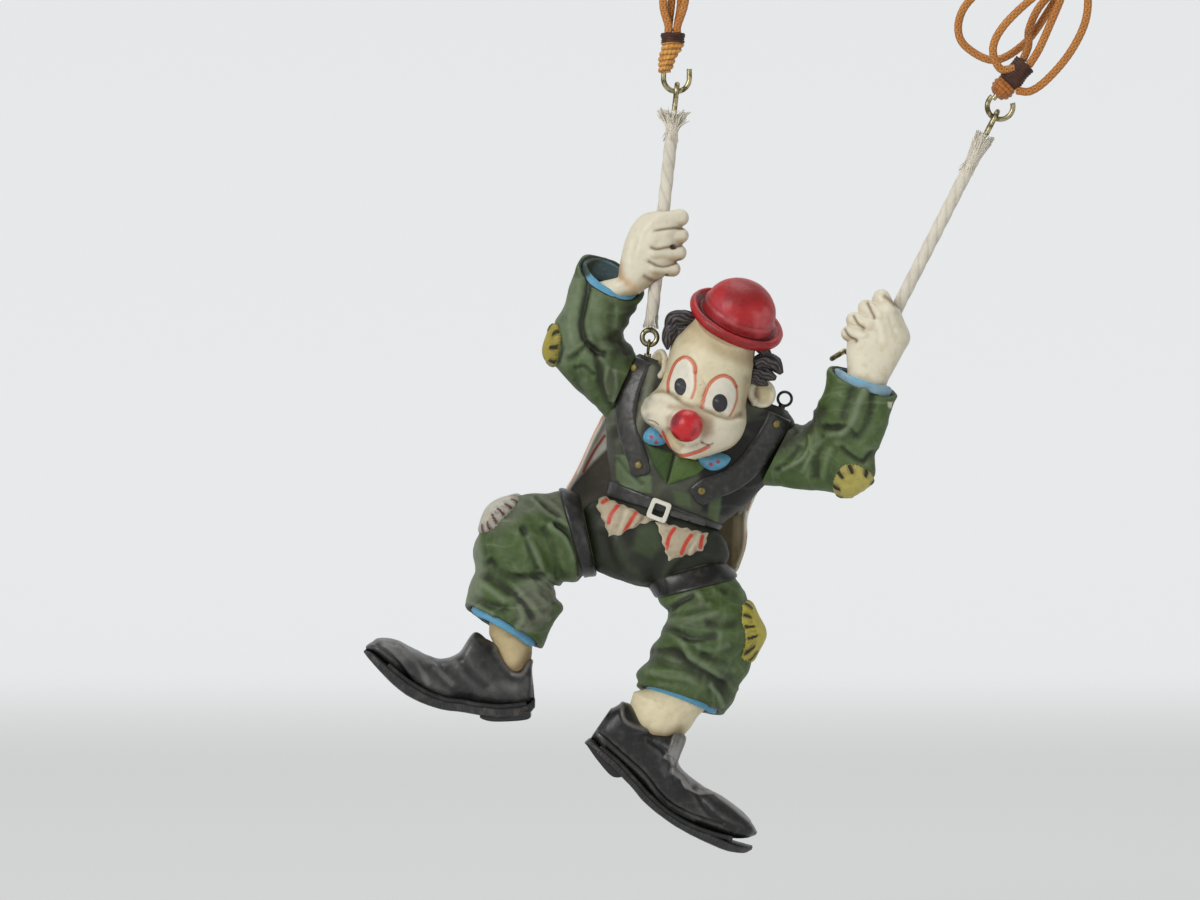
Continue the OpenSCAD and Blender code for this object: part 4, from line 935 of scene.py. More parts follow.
def rope_radius(s, t):
    """Three strands laid together: the radius is full where |cos(1.5t + twist)| is one, and fine
    yarns wind the other way in each of them."""
    twist = FULL_TURN * s / ROPE_LAY
    strand = np.abs(np.cos(1.5 * t + twist)) ** 0.8
    yarn = np.abs(np.sin(9 * t - 2.2 * twist))
    return 0.87 + 0.11 * strand + 0.022 * yarn, strand, yarn


def yarns(count, seed, low, high, out, lean, thick=0.3):
    """Loose ends of yarn in a rope's own axes: each leaves the rope at height low, and goes to
    height high while its distance from the axis grows with the square of its length."""
    draw = np.random.default_rng(seed)
    u = np.linspace(0, 1, 8)
    for _ in range(count):
        angle, reach = draw.uniform(0, FULL_TURN), draw.uniform(0.3, 1)
        droop = 0.5 * (low - high) * draw.uniform(0, 1) ** 2 * reach
        end = high + lean * draw.uniform(0, 1) + (droop if lean < 0 else 0)
        r = 2.3 + (out - 2.3) * reach * u**2 + draw.uniform(-0.2, 0.2)
        bend = angle + draw.uniform(-0.5, 0.5) * u**1.5
        path = np.stack([r * np.cos(bend), r * np.sin(bend), low + (end - low) * u], 1)
        points = round_the_path(path, (thick * draw.uniform(0.7, 1.2) * (1 - 0.45 * u**3))[:, None], 5)
        yield points, COTTON * draw.uniform(0.78, 1.08)


def make_ropes(toy):
    material = cotton()
    radius = toy.rope_width / MM / 2
    for side, hook, direction, collar_to, tassel, flare in (
        ("right", RIGHT_HOOK, RIGHT_DIR, RIGHT_COLLAR_TO, RIGHT_TASSEL, 7.4),
        ("left", LEFT_HOOK, LEFT_DIR, LEFT_COLLAR_TO, LEFT_TASSEL, 4.3),
    ):
        origin, axes = in_direction(hook, direction)
        body = side + "_rope"
        s = np.arange(collar_to - 1, tassel[0] + 1, 0.4)[:, None]
        t = turns(54)[None]
        share, strand, yarn = rope_radius(s, t)
        local = np.stack(np.broadcast_arrays(np.cos(t) * share, np.sin(t) * share, s / radius), -1)
        points = origin + (local * radius) @ axes
        soil = 0.93 + 0.1 * rough(points, 6, 2)
        shade = (0.84 + 0.16 * smooth_step(0.0, 0.7, strand) - 0.06 * (1 - yarn)) * soil
        skin = Skin().add(points, COTTON * shade[..., None])
        rope = piece(side + "_laid_rope", skin, material, side + "_rope", body)
        for name, node, low, high, out, count, lean, core in (
            ("collar", "collar", collar_to, COLLAR_FROM + 0.6, flare, 110, -1.6, COLLAR_FROM + 1.6),
            ("tassel", "end", tassel[0], tassel[1] - 0.4, 3.3, 60, 1.1, tassel[1] - 0.6),
        ):
            skin = Skin()
            h = np.linspace(low, core, 24)
            # The bundle of yarn ends: a tube that widens with the power 1.6 of its length, rippled
            swell = radius * 0.9 + (min(out, 4.4) * 0.78 - radius * 0.9) * np.linspace(0, 1, 24) ** 1.6
            bundle = turned(
                np.stack([swell, h], 1), 60, hook, direction,
                lambda t, h: 0.22 * np.abs(np.sin(11 * t + h)) + 0.12 * np.sin(5 * t - h),
            )
            skin.add(bundle, COTTON * 0.8)
            for points, colour in yarns(count, 4 if side == "left" else 7, low, high, out, lean):
                skin.add(origin + points @ axes, colour)
            if name == "collar":
                for points, colour in yarns(26, 11, low - 3, low + 2.5, radius + 1.3, 2.5, 0.16):
                    skin.add(origin + points @ axes, colour)
            yarn_name, yarn_node = f"{side}_rope_{name}_yarns", f"{side}_rope_{node}"
            piece(yarn_name, skin, material, yarn_node, body)
        ahead = axes[2]
        path = [(origin + ahead * h) * MM for h in np.linspace(collar_to - 1, tassel[0] + 1, 20)]
        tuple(path[0])


class MakeRopes(Make):
    """The two laid cotton ropes, with the loose yarns at both their ends"""

    bl_idname = "toy.ropes"
    bl_label = "Cotton ropes"

    def execute(self, context):
        make_ropes(context.scene.toy)
        return {"FINISHED"}


def make_wires():
    brass = old_metal("antique_brass", 0.28)
    for part in ("open_hook", "rope_eye", "lower_hook"):
        dress("right_" + part, brass)
        dress("left_" + part, brass)
    dress("shoulder_eyes", old_metal("shoulder_wire", 0.32, 0.01))


class MakeWires(Make):
    """The open hooks, rope eyes, lower hooks and shoulder eyes keep their CAD shape, in old wire"""

    bl_idname = "toy.wires"
    bl_label = "Wire hooks and eyes"

    def execute(self, context):
        make_wires()
        return {"FINISHED"}


def dress(node, material):
    """Gives a CAD node its finish and leaves its shape alone."""
    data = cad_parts[node].data
    data.materials.clear()
    data.materials.append(material)


def uneven(count):
    """From nought to one, in steps that are finest at both ends."""
    return (1 - np.cos(np.linspace(0, math.pi, count))) / 2


def there_and_back(count):
    """Uneven steps from nought to one and back, and a one for each step out, nought for each back."""
    v = uneven(count)
    return np.concatenate([v, v[::-1]]), np.repeat([1.0, 0.0], count)


def pillow(form, place, rows, columns, top=TRIM_LIFT, under=GLUE, soft=(14, 6), bulge=0.0):
    """A plate on a form. Its height over the form swells from under to top as the root of
    (1 - |2u - 1|^a)(1 - |2v - 1|^b), so its edges are round, and its back follows the form."""
    u = uneven(rows)[:, None]
    v, up = (row[None] for row in there_and_back(columns))
    swell = (1 - np.abs(2 * u - 1) ** soft[0]) * (1 - np.abs(2 * v - 1) ** soft[1])
    swell = np.sqrt(np.clip(swell, 0, 1))
    crown = bulge * np.sin(math.pi * u) * np.sin(math.pi * v)
    s, t = place(u, v)
    points = form.spot(s, t, under + (top - under + crown) * swell * up)
    return points, smooth_step(0.9, 0.45, swell) * up


def strap(form, route, width, rows=160, columns=26, top=TRIM_LIFT, under=GLUE):
    """A pillow of one width along a route of the picture, its far end rounded off."""
    route = np.reshape(route, (-1, 2)).astype(float)
    last = len(route) - 1

    def place(u, v):
        w = last * u
        ahead = unit(curve(route, np.minimum(last, w + 0.1)) - curve(route, np.maximum(0, w - 0.1)))
        wide = width * np.sqrt(1 - 0.75 * np.clip((u - 0.92) / 0.08, 0, 1) ** 2)
        aside = np.stack([-ahead[..., 1], ahead[..., 0]], -1)
        return form.place(curve(route, w) + aside * ((v - 0.5) * wide)[..., None])

    return pillow(form, place, rows, columns, top, under, (60, 6))


def gore(form, a, b, c, d, top=TRIM_LIFT, under=GLUE, bulge=0.0, size=44, puffed=0.0, ragged=0.0):
    """A pillow between four corners of the picture, which may be puffed out to an oval, or have
    edges that waver by so many mm."""
    a, b, c, d = (np.array(p, float) for p in (a, b, c, d))

    def place(u, v):
        x, y = 2 * u - 1, 2 * v - 1
        u = (u + puffed * (x * np.sqrt(1 - y**2 / 2) * 1.25 - x) / 2)[..., None]
        v = (v + puffed * (y * np.sqrt(1 - x**2 / 2) * 1.25 - y) / 2)[..., None]
        spots = (a * (1 - u) + b * u) * (1 - v) + (d * (1 - u) + c * u) * v
        waver = ragged * np.sin(1.3 * spots[..., ::-1] + 2 * np.sin(0.5 * spots))
        return form.place(spots + waver)

    return pillow(form, place, size, size, top, under, (10, 10), bulge)


def belt_round(form, low, high, top=TRIM_LIFT):
    """A ring round a form from place low to place high, with round edges and a flat inside."""
    v, up = (row[:, None] for row in there_and_back(20))
    swell = np.sqrt(np.clip(1 - np.abs(2 * v - 1) ** 6, 0, 1))
    return form.spot(low + (high - low) * v, turns(230)[None], GLUE + (top - GLUE) * swell * up)


def stitches(route, pitch, share=0.5):
    """Short straight lines along a route of the picture, for a row of thread."""
    path, _ = even_path(np.reshape(route, (-1, 2)), pitch)
    return [(p, p + (q - p) * share) for p, q in zip(path[:-1], path[1:])]


def canvas(points, ground, cloudy=(), wide=1.0):
    """A canvas on a grid, its ground broken by clouds of (colour, strength, size, seed)."""
    made = Canvas(points, normals(points), ground, wide)
    for colour, strength, size, seed in cloudy:
        made.speckle(colour, strength, size, seed)
    return made


def carve(made, size=5.0, height=0.18, seed=2):
    """The unevenness of hand-carved resin: the rough noise, coarse and fine."""
    made.height += height * rough(made.points, size, seed) + 0.3 * height * rough(made.points, size / 5, seed)


def cloth_tube(name, rows, columns, ground, wide):
    """A canvas on the outside of a sleeve or leg, over a round lip, and down inside to half a rib.
    With it comes where its inside is."""
    form = FORMS[name]
    turn = np.linspace(0, math.pi, 10)[1:-1]
    thick = (1 - MOUTH_IN) / 2
    down = np.linspace(form.end, form.end - MOUTH_DEPTH, 26)
    s = np.concatenate([np.linspace(0, form.end, rows), form.end + 0.05 * np.sin(turn), down])
    k = np.concatenate([np.ones(rows), 1 - thick * (1 - np.cos(turn)), np.full(26, MOUTH_IN)])
    points = form.spot(s[:, None], turns(columns)[None], 0, k[:, None])
    within = np.broadcast_to((np.arange(len(s)) >= rows + 4)[:, None], points.shape[:2])
    return canvas(points, ground, GREEN_CLOUDS, wide=wide), within


GREEN_CLOUDS = (
    (DEEP_GREEN, 0.55, 9, 3), (PALE_GREEN, 0.4, 6, 7), (GREY_WASH, 0.45, 12, 11), (BRIGHT_GREEN, 0.35, 5, 23),
)
# Painted shade inside the mouths of the sleeves and the legs
SLEEVE_MOUTH_SHADE, LEG_MOUTH_SHADE = tone(34, 38, 28), tone(36, 42, 34)


def finish_tube(made, within, mouth_shade, held, seed):
    """Wandering creases over a cloth tube, flat down to row share held, where a strap lies on it.
    Then dark wash and painted shade in its hollows, painted highlights on its crests, and painted shade inside its
    mouth."""
    made.height += 0.55 * (creases(made.points, 12, seed) - 0.35) + 0.15 * (creases(made.points, 5, seed) - 0.35)
    carve(made, 6.0, 0.16)
    if held:
        rows = np.linspace(0, 1, len(made.height))[:, None]
        made.height *= 0.1 + 0.9 * smooth_step(held, held * 1.5, rows)
    made.wash_shade_and_highlight(8, 0.7, 0.4, 0.7)
    made.wash_shade_and_highlight(2, 0.45, 0.28, 0.12, WASH_AND_SHADE, tone(128, 138, 112))
    # Painted shade inside the mouth
    made.colour = np.where(within[..., None], mouth_shade, made.colour)
    return made.skin()


def make_sleeves(toy):
    green = np.array(toy.cloth_colour)
    cloth = painted("green_cloth_paint", 0.56, 0.08, 0.8, 0.2, 0.24)
    # The paint of these finishes also holds painted shade and highlights
    plain = painted("patch_paint_and_shade", 0.58, 0.06, 0.9, 0.2, 0.24)
    sky = painted("blue_paint_and_shade", 0.52, 0.1, 0, 0.2, 0.22)

    right, within = cloth_tube("right_sleeve", 220, 190, green, 1.35)
    right.area(tone(112, 126, 98), 0.6, [-56, -150, -42, -134, -41, -160, -48, -176, -58, -168], 5)
    # Painted shade down the right side of the forearm and in a patch below it, and a painted highlight down the
    # forearm's front
    right.area(tone(46, 46, 36), 0.75, [-24, -148, -15, -148, -17, -166, -22, -176, -29, -164], 5)
    right.paint(tone(104, 118, 84), 0.5, 5, [-32, -146, -33, -158])
    right.paint(WASH_AND_SHADE, 0.7, 3.2, [-30, -165, -27, -168])
    right.folds(
        (1.2, -2.0, [-38.5, -141, -40.5, -149, -41.5, -158, -40, -163.5, -36.5, -167.5, -32, -169.5]),
        (1.6, -1.6, [-36, -168, -34, -176, -33, -184, -30, -191, -27, -197]),
        (0.9, -0.9, [-52, -158, -51, -163, -50, -168, -51, -173]), (1.1, -1.0, [-47, -172, -43, -169.5, -39, -165.5]),
        (0.9, -0.8, [-44, -175.5, -40, -175, -36.5, -178]), (1.2, -1.0, [-29, -163, -25, -165, -22, -169]),
        (1.6, 0.9, [-43, -140, -45.5, -149, -46.5, -158, -45, -165]),
        (0.9, 0.7, [-30.5, -176, -31.8, -182, -30, -189.5]), (0.9, 0.6, [-27, -177, -26.5, -184, -28, -189]),
        (1.1, 0.8, [-46, -169, -41, -166, -38, -164]), (1.8, 0.7, [-34, -147, -35, -156, -33, -162]),
        (1.4, -0.6, [-28, -150, -29, -157, -27, -162]), (1.3, 0.6, [-40, -181, -36, -187]),
        (1.0, -0.6, [-44, -181, -40, -187]),
    )
    # Painted shade along the deepest folds, and painted highlights along the crests
    right.paint(WASH_AND_SHADE, 0.5, 1.0, [-38.5, -141, -40.5, -149, -41.5, -158, -40, -163.5, -36.5, -167.5])
    right.paint(WASH_AND_SHADE, 0.5, 1.2, [-36.5, -168, -34, -176, -33, -184, -30, -191])
    right.paint(PALE_GREEN, 0.5, 0.9, [-46, -169, -41, -166, -38, -164], [-44, -140, -46, -150])
    right.area(tone(67, 70, 54), 0.6, [-32, -175, -26, -175, -25, -185, -29, -192, -33, -184], 2)
    skin = finish_tube(right, within, SLEEVE_MOUTH_SHADE, 0, 3)
    piece("right_cloth_sleeve", skin, cloth, "right_sleeve")

    left, within = cloth_tube("left_sleeve", 220, 190, green * 1.25, 1.35)
    left.area(tone(50, 50, 42), 0.8, [52, -190, 62, -192, 60, -201, 48, -209, 40, -212, 42, -200], 4)
    left.area(tone(88, 106, 64), 0.4, [64, -192, 84, -192, 78, -212, 58, -222, 44, -222, 50, -208], 5)
    left.folds(
        (1.5, 1.2, [77.5, -185.5, 75, -191, 73.5, -196, 71, -200, 68, -203]),
        (1.3, 1.0, [67, -202.5, 62, -204, 58, -208, 56, -210]),
        (1.2, -1.4, [61, -200.5, 66, -201, 70, -200.5, 73, -204]),
        (0.8, 0.7, [54.5, -204.5, 54.5, -208, 52, -213, 48, -216, 43.5, -218]),
        (0.8, 0.6, [56, -211, 53.5, -215, 51.5, -219]), (1.0, -0.8, [50, -209, 46, -214, 41, -218]),
        (1.5, 0.8, [86, -199, 83, -206, 79.5, -210]), (1.0, -1.0, [80, -211, 77, -215, 72, -213, 68, -209]),
        (1.4, -1.1, [81, -187, 80, -194, 78, -200, 75, -205]), (1.6, -0.9, [72, -185, 70, -191, 68, -197]),
        (1.4, -1.2, [60, -205, 57, -213, 57, -221]), (1.2, 0.8, [63, -210, 61, -216, 60, -221]),
        (1.6, 0.6, [66, -207, 70, -209]), (1.2, -0.8, [48, -202, 43, -207, 39, -211]),
    )
    # Painted shade in the folds, and painted highlights on the crests and on the lip of the cuff
    left.paint(WASH_AND_SHADE, 0.55, 1.0, [61, -200.8, 66, -201.2, 70, -200.8], [80, -211, 77, -215])
    left.paint(PALE_GREEN, 0.65, 0.6, [77.5, -185.5, 75, -191, 73.5, -196, 71, -200, 68, -203])
    left.paint(PALE_GREEN, 0.5, 0.45, [54.5, -204.5, 54.5, -208, 52, -213, 48, -216, 43.5, -218])
    left.paint(PALE_GREEN, 0.45, 0.4, [67, -202.5, 62, -204, 58, -208], [56, -211, 53.5, -215])
    left.paint(PALE_GREEN, 0.6, 0.5, [66, -180.5, 70, -182, 80, -184, 88, -188])
    left.area(CREAM, 0.8, [87, -189.5, 89.2, -190, 89, -192.6, 87.3, -192], 0.4)
    skin = finish_tube(left, within, SLEEVE_MOUTH_SHADE, 0, 7)
    piece("left_cloth_sleeve", skin, cloth, "left_sleeve")

    cuffs = Skin()
    for name, ground, out in (("right_sleeve", BLUE, 0.34), ("left_sleeve", tone(132, 162, 176), 0.27)):
        points = soft_lining(FORMS[name], 0.115, out)
        made = canvas(points, ground, ((DULL_BLUE, 0.5, 5, 4), (tone(146, 186, 204), 0.3, 3, 8)))
        made.tint(tone(64, 82, 86), in_the_mouth(len(points)))
        if name == "right_sleeve":
            made.area(tone(44, 54, 36), 0.95, [-48, -122, -18, -122, -26, -129, -35.5, -131.5, -38, -137, -48, -140], 2)
        else:
            made.paint(tone(104, 176, 206), 0.8, 1.6, [73.5, -179.8, 80, -181])
        carve(made, 4.0, 0.14)
        made.wash_shade_and_highlight(4, 0.7, 0.4, 0.2, tone(62, 84, 92), tone(156, 192, 208))
        cuffs.ring(made)
    piece("cloth_cuffs", cuffs, sky, "cuffs")

    patches = Skin()
    for name, middle, span, angle, bulge, seed, straw, ground in (
        ("right_sleeve", (3.1, 0), 0.85, 50, 1.0, 3, 0.25, tone(160, 148, 58)),
        ("left_sleeve", (3.15, -28), 0.82, 46, 0.5, 5, 0.5, tone(180, 168, 88)),
    ):
        sewn_patch(patches, FORMS[name], middle, span, angle, bulge, seed, ground, straw=straw, stitched=4.2)
    piece("sewn_elbow_patches", patches, plain, "elbow_patches")


class MakeSleeves(Make):
    """Both sleeves as crumpled green cloth, with their cuffs and elbow patches"""

    bl_idname = "toy.sleeves"
    bl_label = "Sleeves, cuffs and elbow patches"

    def execute(self, context):
        make_sleeves(context.scene.toy)
        return {"FINISHED"}


def out_of_tube(tube, k, form, t, share):
    """Rings from a stub in the mouth of a tube to the first rib of the form that comes out of it."""
    tube, first = FORMS[tube], form.spot(0, t)
    stub = nearest_turn(tube.spot(tube.end - MOUTH_DEPTH, t, 0, k), first)
    share = share[:-1, None, None]
    return stub * (1 - share) + first * share


def soft_lining(form, wall, out):
    """A ring of cloth in the mouth of a tube: up its outside, over a round edge, down its inside."""
    outer = MOUTH_IN - 0.012
    low = form.end - MOUTH_DEPTH + 0.02
    turn = np.linspace(0, math.pi, 14)[1:-1]
    up = np.linspace(0, 1, 24)[:, None]
    t = turns(190)[None]
    lip = out * (0.2 + 0.8 * smooth_step(0.3, -0.7, np.sin(t)))
    side = low + (form.end + 0.6 * lip - low) * up
    s = np.concatenate([side, form.end + lip * (0.6 + 0.4 * np.sin(turn)[:, None]), side[::-1]])
    k = np.concatenate([np.full(24, outer), outer - wall / 2 * (1 - np.cos(turn)), np.full(24, outer - wall)])
    return form.spot(s, t, 0, k[:, None])


def in_the_mouth(rows):
    """The share of shadow on a soft lining: all on its inside, and on its far half."""
    behind = smooth_step(0, 0.5, np.sin(turns(190)))
    return np.maximum(smooth_step(29, 36, np.arange(rows))[:, None], 0.85 * behind)


def sewn_patch(
    skin, form, middle, span, angle, bulge, seed, ground, stitched, straw, rounding=0.5, sewn_in=(0, 360),
    thread=BLACK,
):
    """A patch sewn on cloth: a pillow whose outline wavers where it is frayed, with a rim of loose
    straw threads, and dark stitches that run in from the edge over a range of angles round it."""
    u = uneven(68)[:, None]
    v, up = (row[None] for row in there_and_back(68))
    a, b = np.broadcast_arrays(2 * u - 1, 2 * v - 1)
    x, y = a * np.sqrt(1 - rounding * b**2), b * np.sqrt(1 - rounding * a**2)
    turn, far = np.arctan2(y, x), np.maximum(np.abs(a), np.abs(b))
    far_in = 1 - 0.035 * np.abs(np.sin(19 * turn + seed)) * smooth_step(0.7, 1, far)
    s = middle[0] + span * x * far_in
    t = math.radians(middle[1]) + math.radians(angle) * y * far_in
    swell = np.sqrt(np.clip(1 - far**12, 0, 1))
    crown = bulge * np.cos(math.pi / 2 * a) * np.cos(math.pi / 2 * b)
    points = form.spot(s, t, -1.0 + (TRIM + 1.0 + crown) * swell * up)
    made = canvas(points, ground, ((ground * 0.6, 0.4, 4, seed), (STRAW, 0.45, 5, seed + 2)))
    rim = smooth_step(0.78, 0.86, far + 0.03 * np.sin(23 * turn))
    made.tint(ground * 0.4, smooth_step(0.6, 0.9, far) * up * 0.35)
    ridge = np.abs(np.sin(45 * turn)) * rim
    made.tint(STRAW, ridge * up * straw)
    made.height += 0.22 * ridge * up * straw
    around = math.pi * (span * 6 + angle / 8)
    wave = np.sin(turn * round(around / stitched) + seed)
    degrees = np.degrees(turn) % 360
    sewn = smooth_step(0.45, 0.75, wave) * smooth_step(0.62, 0.68, far) * smooth_step(0.98, 0.94, far) * up
    sewn = sewn * ((degrees >= sewn_in[0]) & (degrees <= sewn_in[1]))
    made.height += 0.35 * sewn
    carve(made, 3.0, 0.12, seed)
    made.wash_shade_and_highlight(3, 0.5, 0.15, 0.16, WASH_AND_SHADE, STRAW)
    made.tint(thread, sewn * 0.95)
    skin.plate(made)


def make_trousers(toy):
    green = np.array(toy.cloth_colour)
    cloth = bpy.data.materials["green_cloth_paint"]
    right, within = cloth_tube("right_leg", 226, 192, green * 1.15, 1.5)
    right.area(tone(124, 132, 110), 0.75, [-96, -258, -84, -246, -82, -262, -84, -276, -98, -276], 4)
    right.area(tone(92, 94, 80), 0.7, [-84, -240, -62, -226, -44, -226, -46, -240, -62, -236, -80, -246], 4)
    right.area(tone(114, 117, 102), 0.7, [-70, -268, -56, -262, -50, -270, -56, -284, -68, -288], 5)
    right.area(tone(84, 100, 62), 0.5, [-50, -238, -38, -240, -34, -262, -46, -266, -54, -252], 4)
    right.folds(
        (1.4, 1.2, [-64, -247, -61.5, -252, -59.5, -257, -57.5, -261, -56, -263]),
        (1.2, -1.2, [-66, -243, -64, -248, -62, -254, -60, -259]),
        (1.3, 1.1, [-54, -242, -49, -246, -46.5, -251, -45, -256, -44.5, -263]),
        (1.2, 1.0, [-49, -239, -43, -243.5, -39.5, -248, -37, -253, -36, -259]),
        (1.1, -1.3, [-51, -242, -46.5, -246, -43.5, -251, -42, -256, -41.5, -262]),
        (1.0, -1.0, [-52, -241, -47, -243.5, -44, -247]), (1.2, -1.1, [-57, -243, -54, -249, -52, -256, -50.5, -263]),
        (0.8, 0.6, [-62, -231, -55, -237, -48, -241]), (0.8, 0.6, [-58, -230, -52, -234, -47, -238]),
        (0.9, -0.7, [-60, -230.5, -54, -235.5, -48, -239.5]),
        (1.6, -1.7, [-80, -258, -76, -262, -71, -264, -65, -263.5, -58, -262.5]),
        (1.6, -1.6, [-82, -263, -77, -266, -72, -269.5]), (1.2, 0.9, [-80, -259, -76, -262.5, -70, -266, -67, -270]),
        (2.0, 1.0, [-82, -267, -78, -270, -74, -273]), (1.5, -1.3, [-86, -273, -80, -275, -74, -276.5]),
        (1.0, 0.9, [-66, -271, -62, -275, -59, -279, -56, -280]), (1.0, -0.9, [-69, -271, -65, -276, -62, -280]),
        (1.0, 0.8, [-67, -276, -66, -281, -68, -284]), (1.1, -0.8, [-60, -266, -56, -271, -53, -274]),
        (1.0, 0.7, [-85, -276, -79, -279.5]),
    )
    # Painted shade along the deepest folds, and painted highlights along the crests
    right.paint(
        WASH_AND_SHADE, 0.45, 1.1,
        [-66, -243, -64, -248, -62, -254, -60, -259], [-82, -263, -77, -266, -72, -269.5],
        [-80, -258, -76, -262, -71, -264, -65, -263.5, -58, -262.5],
        [-51, -242, -46.5, -246, -43.5, -251, -42, -256, -41.5, -262],
    )
    right.paint(
        PALE_GREEN, 0.6, 0.7,
        [-64, -247, -61.5, -252, -59.5, -257, -57.5, -261],
        [-54, -242, -49, -246, -46.5, -251, -45, -256], [-82, -267, -78, -270, -74, -273],
        [-85, -276, -79, -279.5], [-49, -239, -43, -243.5, -39.5, -248],
    )
    skin = finish_tube(right, within, LEG_MOUTH_SHADE, 0.1, 11)
    piece("right_cloth_leg", skin, cloth, "right_trouser_leg")

    left, within = cloth_tube("left_leg", 230, 196, green * 1.15, 1.5)
    left.area(tone(72, 73, 60), 0.6, [-4, -260, 8, -256, 28, -262, 30, -272, 14, -262, 0, -266], 3)
    left.area(tone(58, 60, 46), 0.5, [-14, -294, -2, -292, 10, -300, 24, -306, 22, -316, 0, -302, -14, -300], 4)
    left.folds(
        (1.5, 1.0, [-8, -268, -3, -263.5, 1, -262]), (1.4, 1.1, [7, -259.5, 12, -258, 17, -259, 22, -264, 26, -270]),
        (1.2, 1.0, [-8, -271, -2, -268, 3, -267.5, 7, -270, 9, -273]), (1.1, -1.2, [-5, -278, 0, -274, 5, -271]),
        (1.2, -1.0, [8, -264, 14, -265, 19, -269]), (1.2, 0.9, [-5, -279, 0, -277.5, 5, -275.5, 12, -275]),
        (2.4, 1.0, [-4, -282, 5, -281, 15, -279, 20, -279]),
        (1.4, -1.4, [-8, -283, -4, -285, 2, -288.5, 8, -289, 14, -288]),
        (1.3, 1.0, [-9, -286, -3, -287.5, 1, -291, 3, -295.5, 5, -298]),
        (1.9, -1.9, [-13, -294, -7, -295, -2, -296, 3, -299, 8, -302, 14, -306, 18, -308]),
        (1.3, 1.0, [4, -297, 10, -301, 16, -305, 22, -310]), (1.7, 0.9, [-13, -303, -5, -305, 3, -306, 9, -309.5]),
        (1.2, -1.0, [-12, -298, -5, -300, 2, -302.5, 8, -306]), (0.9, 0.7, [13, -309, 16, -313, 17.5, -317]),
        (1.2, -0.9, [12, -283, 17, -284, 23, -283]), (1.1, 0.7, [8, -293, 14, -294, 20, -292]),
        (1.2, -0.9, [10, -296.5, 16, -299, 22, -300]),
    )
    # Painted shade along the deepest folds, and painted highlights along the crests
    left.paint(
        WASH_AND_SHADE, 0.45, 1.1,
        [-13, -294, -7, -295, -2, -296, 3, -299, 8, -302, 14, -306, 18, -308],
        [-8, -283, -4, -285, 2, -288.5, 8, -289, 14, -288], [-5, -278, 0, -274, 5, -271],
    )
    left.paint(
        PALE_GREEN, 0.6, 0.75,
        [7, -259.5, 12, -258, 17, -259, 22, -264], [4, -297, 10, -301, 16, -305],
        [-4, -282, 5, -281, 15, -279], [-13, -303, -5, -305, 3, -306],
        [13, -309, 16, -313, 17.5, -317], [21, -299, 23, -303],
    )
    skin = finish_tube(left, within, LEG_MOUTH_SHADE, 0.115, 17)
    piece("left_cloth_leg", skin, cloth, "left_trouser_leg")

    # The seat's near-black ground is painted shade between the legs and under the shirt tails
    seat = canvas(FORMS["seat"].grid(110, 190), tone(38, 41, 30), GREEN_CLOUDS[:1], wide=1.3)
    seat.folds(
        (2.0, -1.2, [-20, -246, -12, -256, -10, -266]), (1.6, 0.9, [-26, -248, -22, -258, -16, -264]),
        (1.6, 0.9, [4, -250, -4, -258, -8, -265]), (1.4, -0.8, [-32, -246, -29, -256, -24, -263]),
    )
    seat.height += 0.4 * creases(seat.points, 9, 5)
    carve(seat, 6.0, 0.2)
    seat.wash_shade_and_highlight(7, 0.9, 0.1, 0.5)
    seat.area(tone(62, 76, 48), 0.7, [-18, -243, -10, -241, -8, -250, -12, -256, -20, -252], 3)
    skin = seat.skin()
    piece("cloth_seat", skin, cloth, "trouser_seat")

    hems = Skin()
    for name in ("right_leg", "left_leg"):
        made = canvas(soft_lining(FORMS[name], 0.095, 0.3), BLUE, ((DULL_BLUE, 0.4, 5, 2),))
        made.tint(tone(58, 70, 66), in_the_mouth(len(made.points)))
        carve(made, 4.0, 0.12)
        made.wash_shade_and_highlight(4, 0.5, 0.4, 0.2, tone(50, 90, 110), tone(140, 190, 212))
        hems.ring(made)
    piece("cloth_hem_linings", hems, bpy.data.materials["blue_paint_and_shade"], "hem_linings")

    straps = Skin()
    for name, broad in (("right_leg", 2.04), ("left_leg", 2.3)):
        form = FORMS[name]
        step = form.end / 16
        points = belt_round(form, 0.04 * step, broad * step, TRIM)
        made = canvas(points, CHARCOAL * 0.6, ((PALE_GREY, 0.2, 4, 3), (BLACK, 0.6, 6, 5)))
        carve(made, 3.0, 0.12)
        made.wash_shade_and_highlight(3, 0.8, 0.5, 0.16, BLACK, PALE_GREY)
        straps.ring(made)
    webbing = painted("harness_webbing", 0.36, 0.2, 0, 0.3, 0.3, 0.4)
    piece("webbing_thigh_straps", straps, webbing, "thigh_straps")

    patches = Skin()
    sewn_patch(
        patches, FORMS["right_leg"], (3.45, 181), 1.0, 49, 0.6, 4, tone(186, 183, 170), straw=0.05, stitched=2.2,
        sewn_in=(20, 160), thread=tone(84, 30, 28),
    )
    sewn_patch(
        patches, FORMS["left_leg"], (3.4, 182), 1.3, 42, 3.0, 6, tone(184, 172, 66), straw=0.15, stitched=2.6,
        sewn_in=(20, 160), rounding=0.2,
    )
    plain = bpy.data.materials["patch_paint_and_shade"]
    piece("sewn_knee_patches", patches, plain, "knee_patches")


class MakeTrousers(Make):
    """The seat and both trouser legs as crumpled cloth, with hem linings, thigh straps and knee patches"""

    bl_idname = "toy.trousers"
    bl_label = "Trousers and knee patches"

    def execute(self, context):
        make_trousers(context.scene.toy)
        return {"FINISHED"}


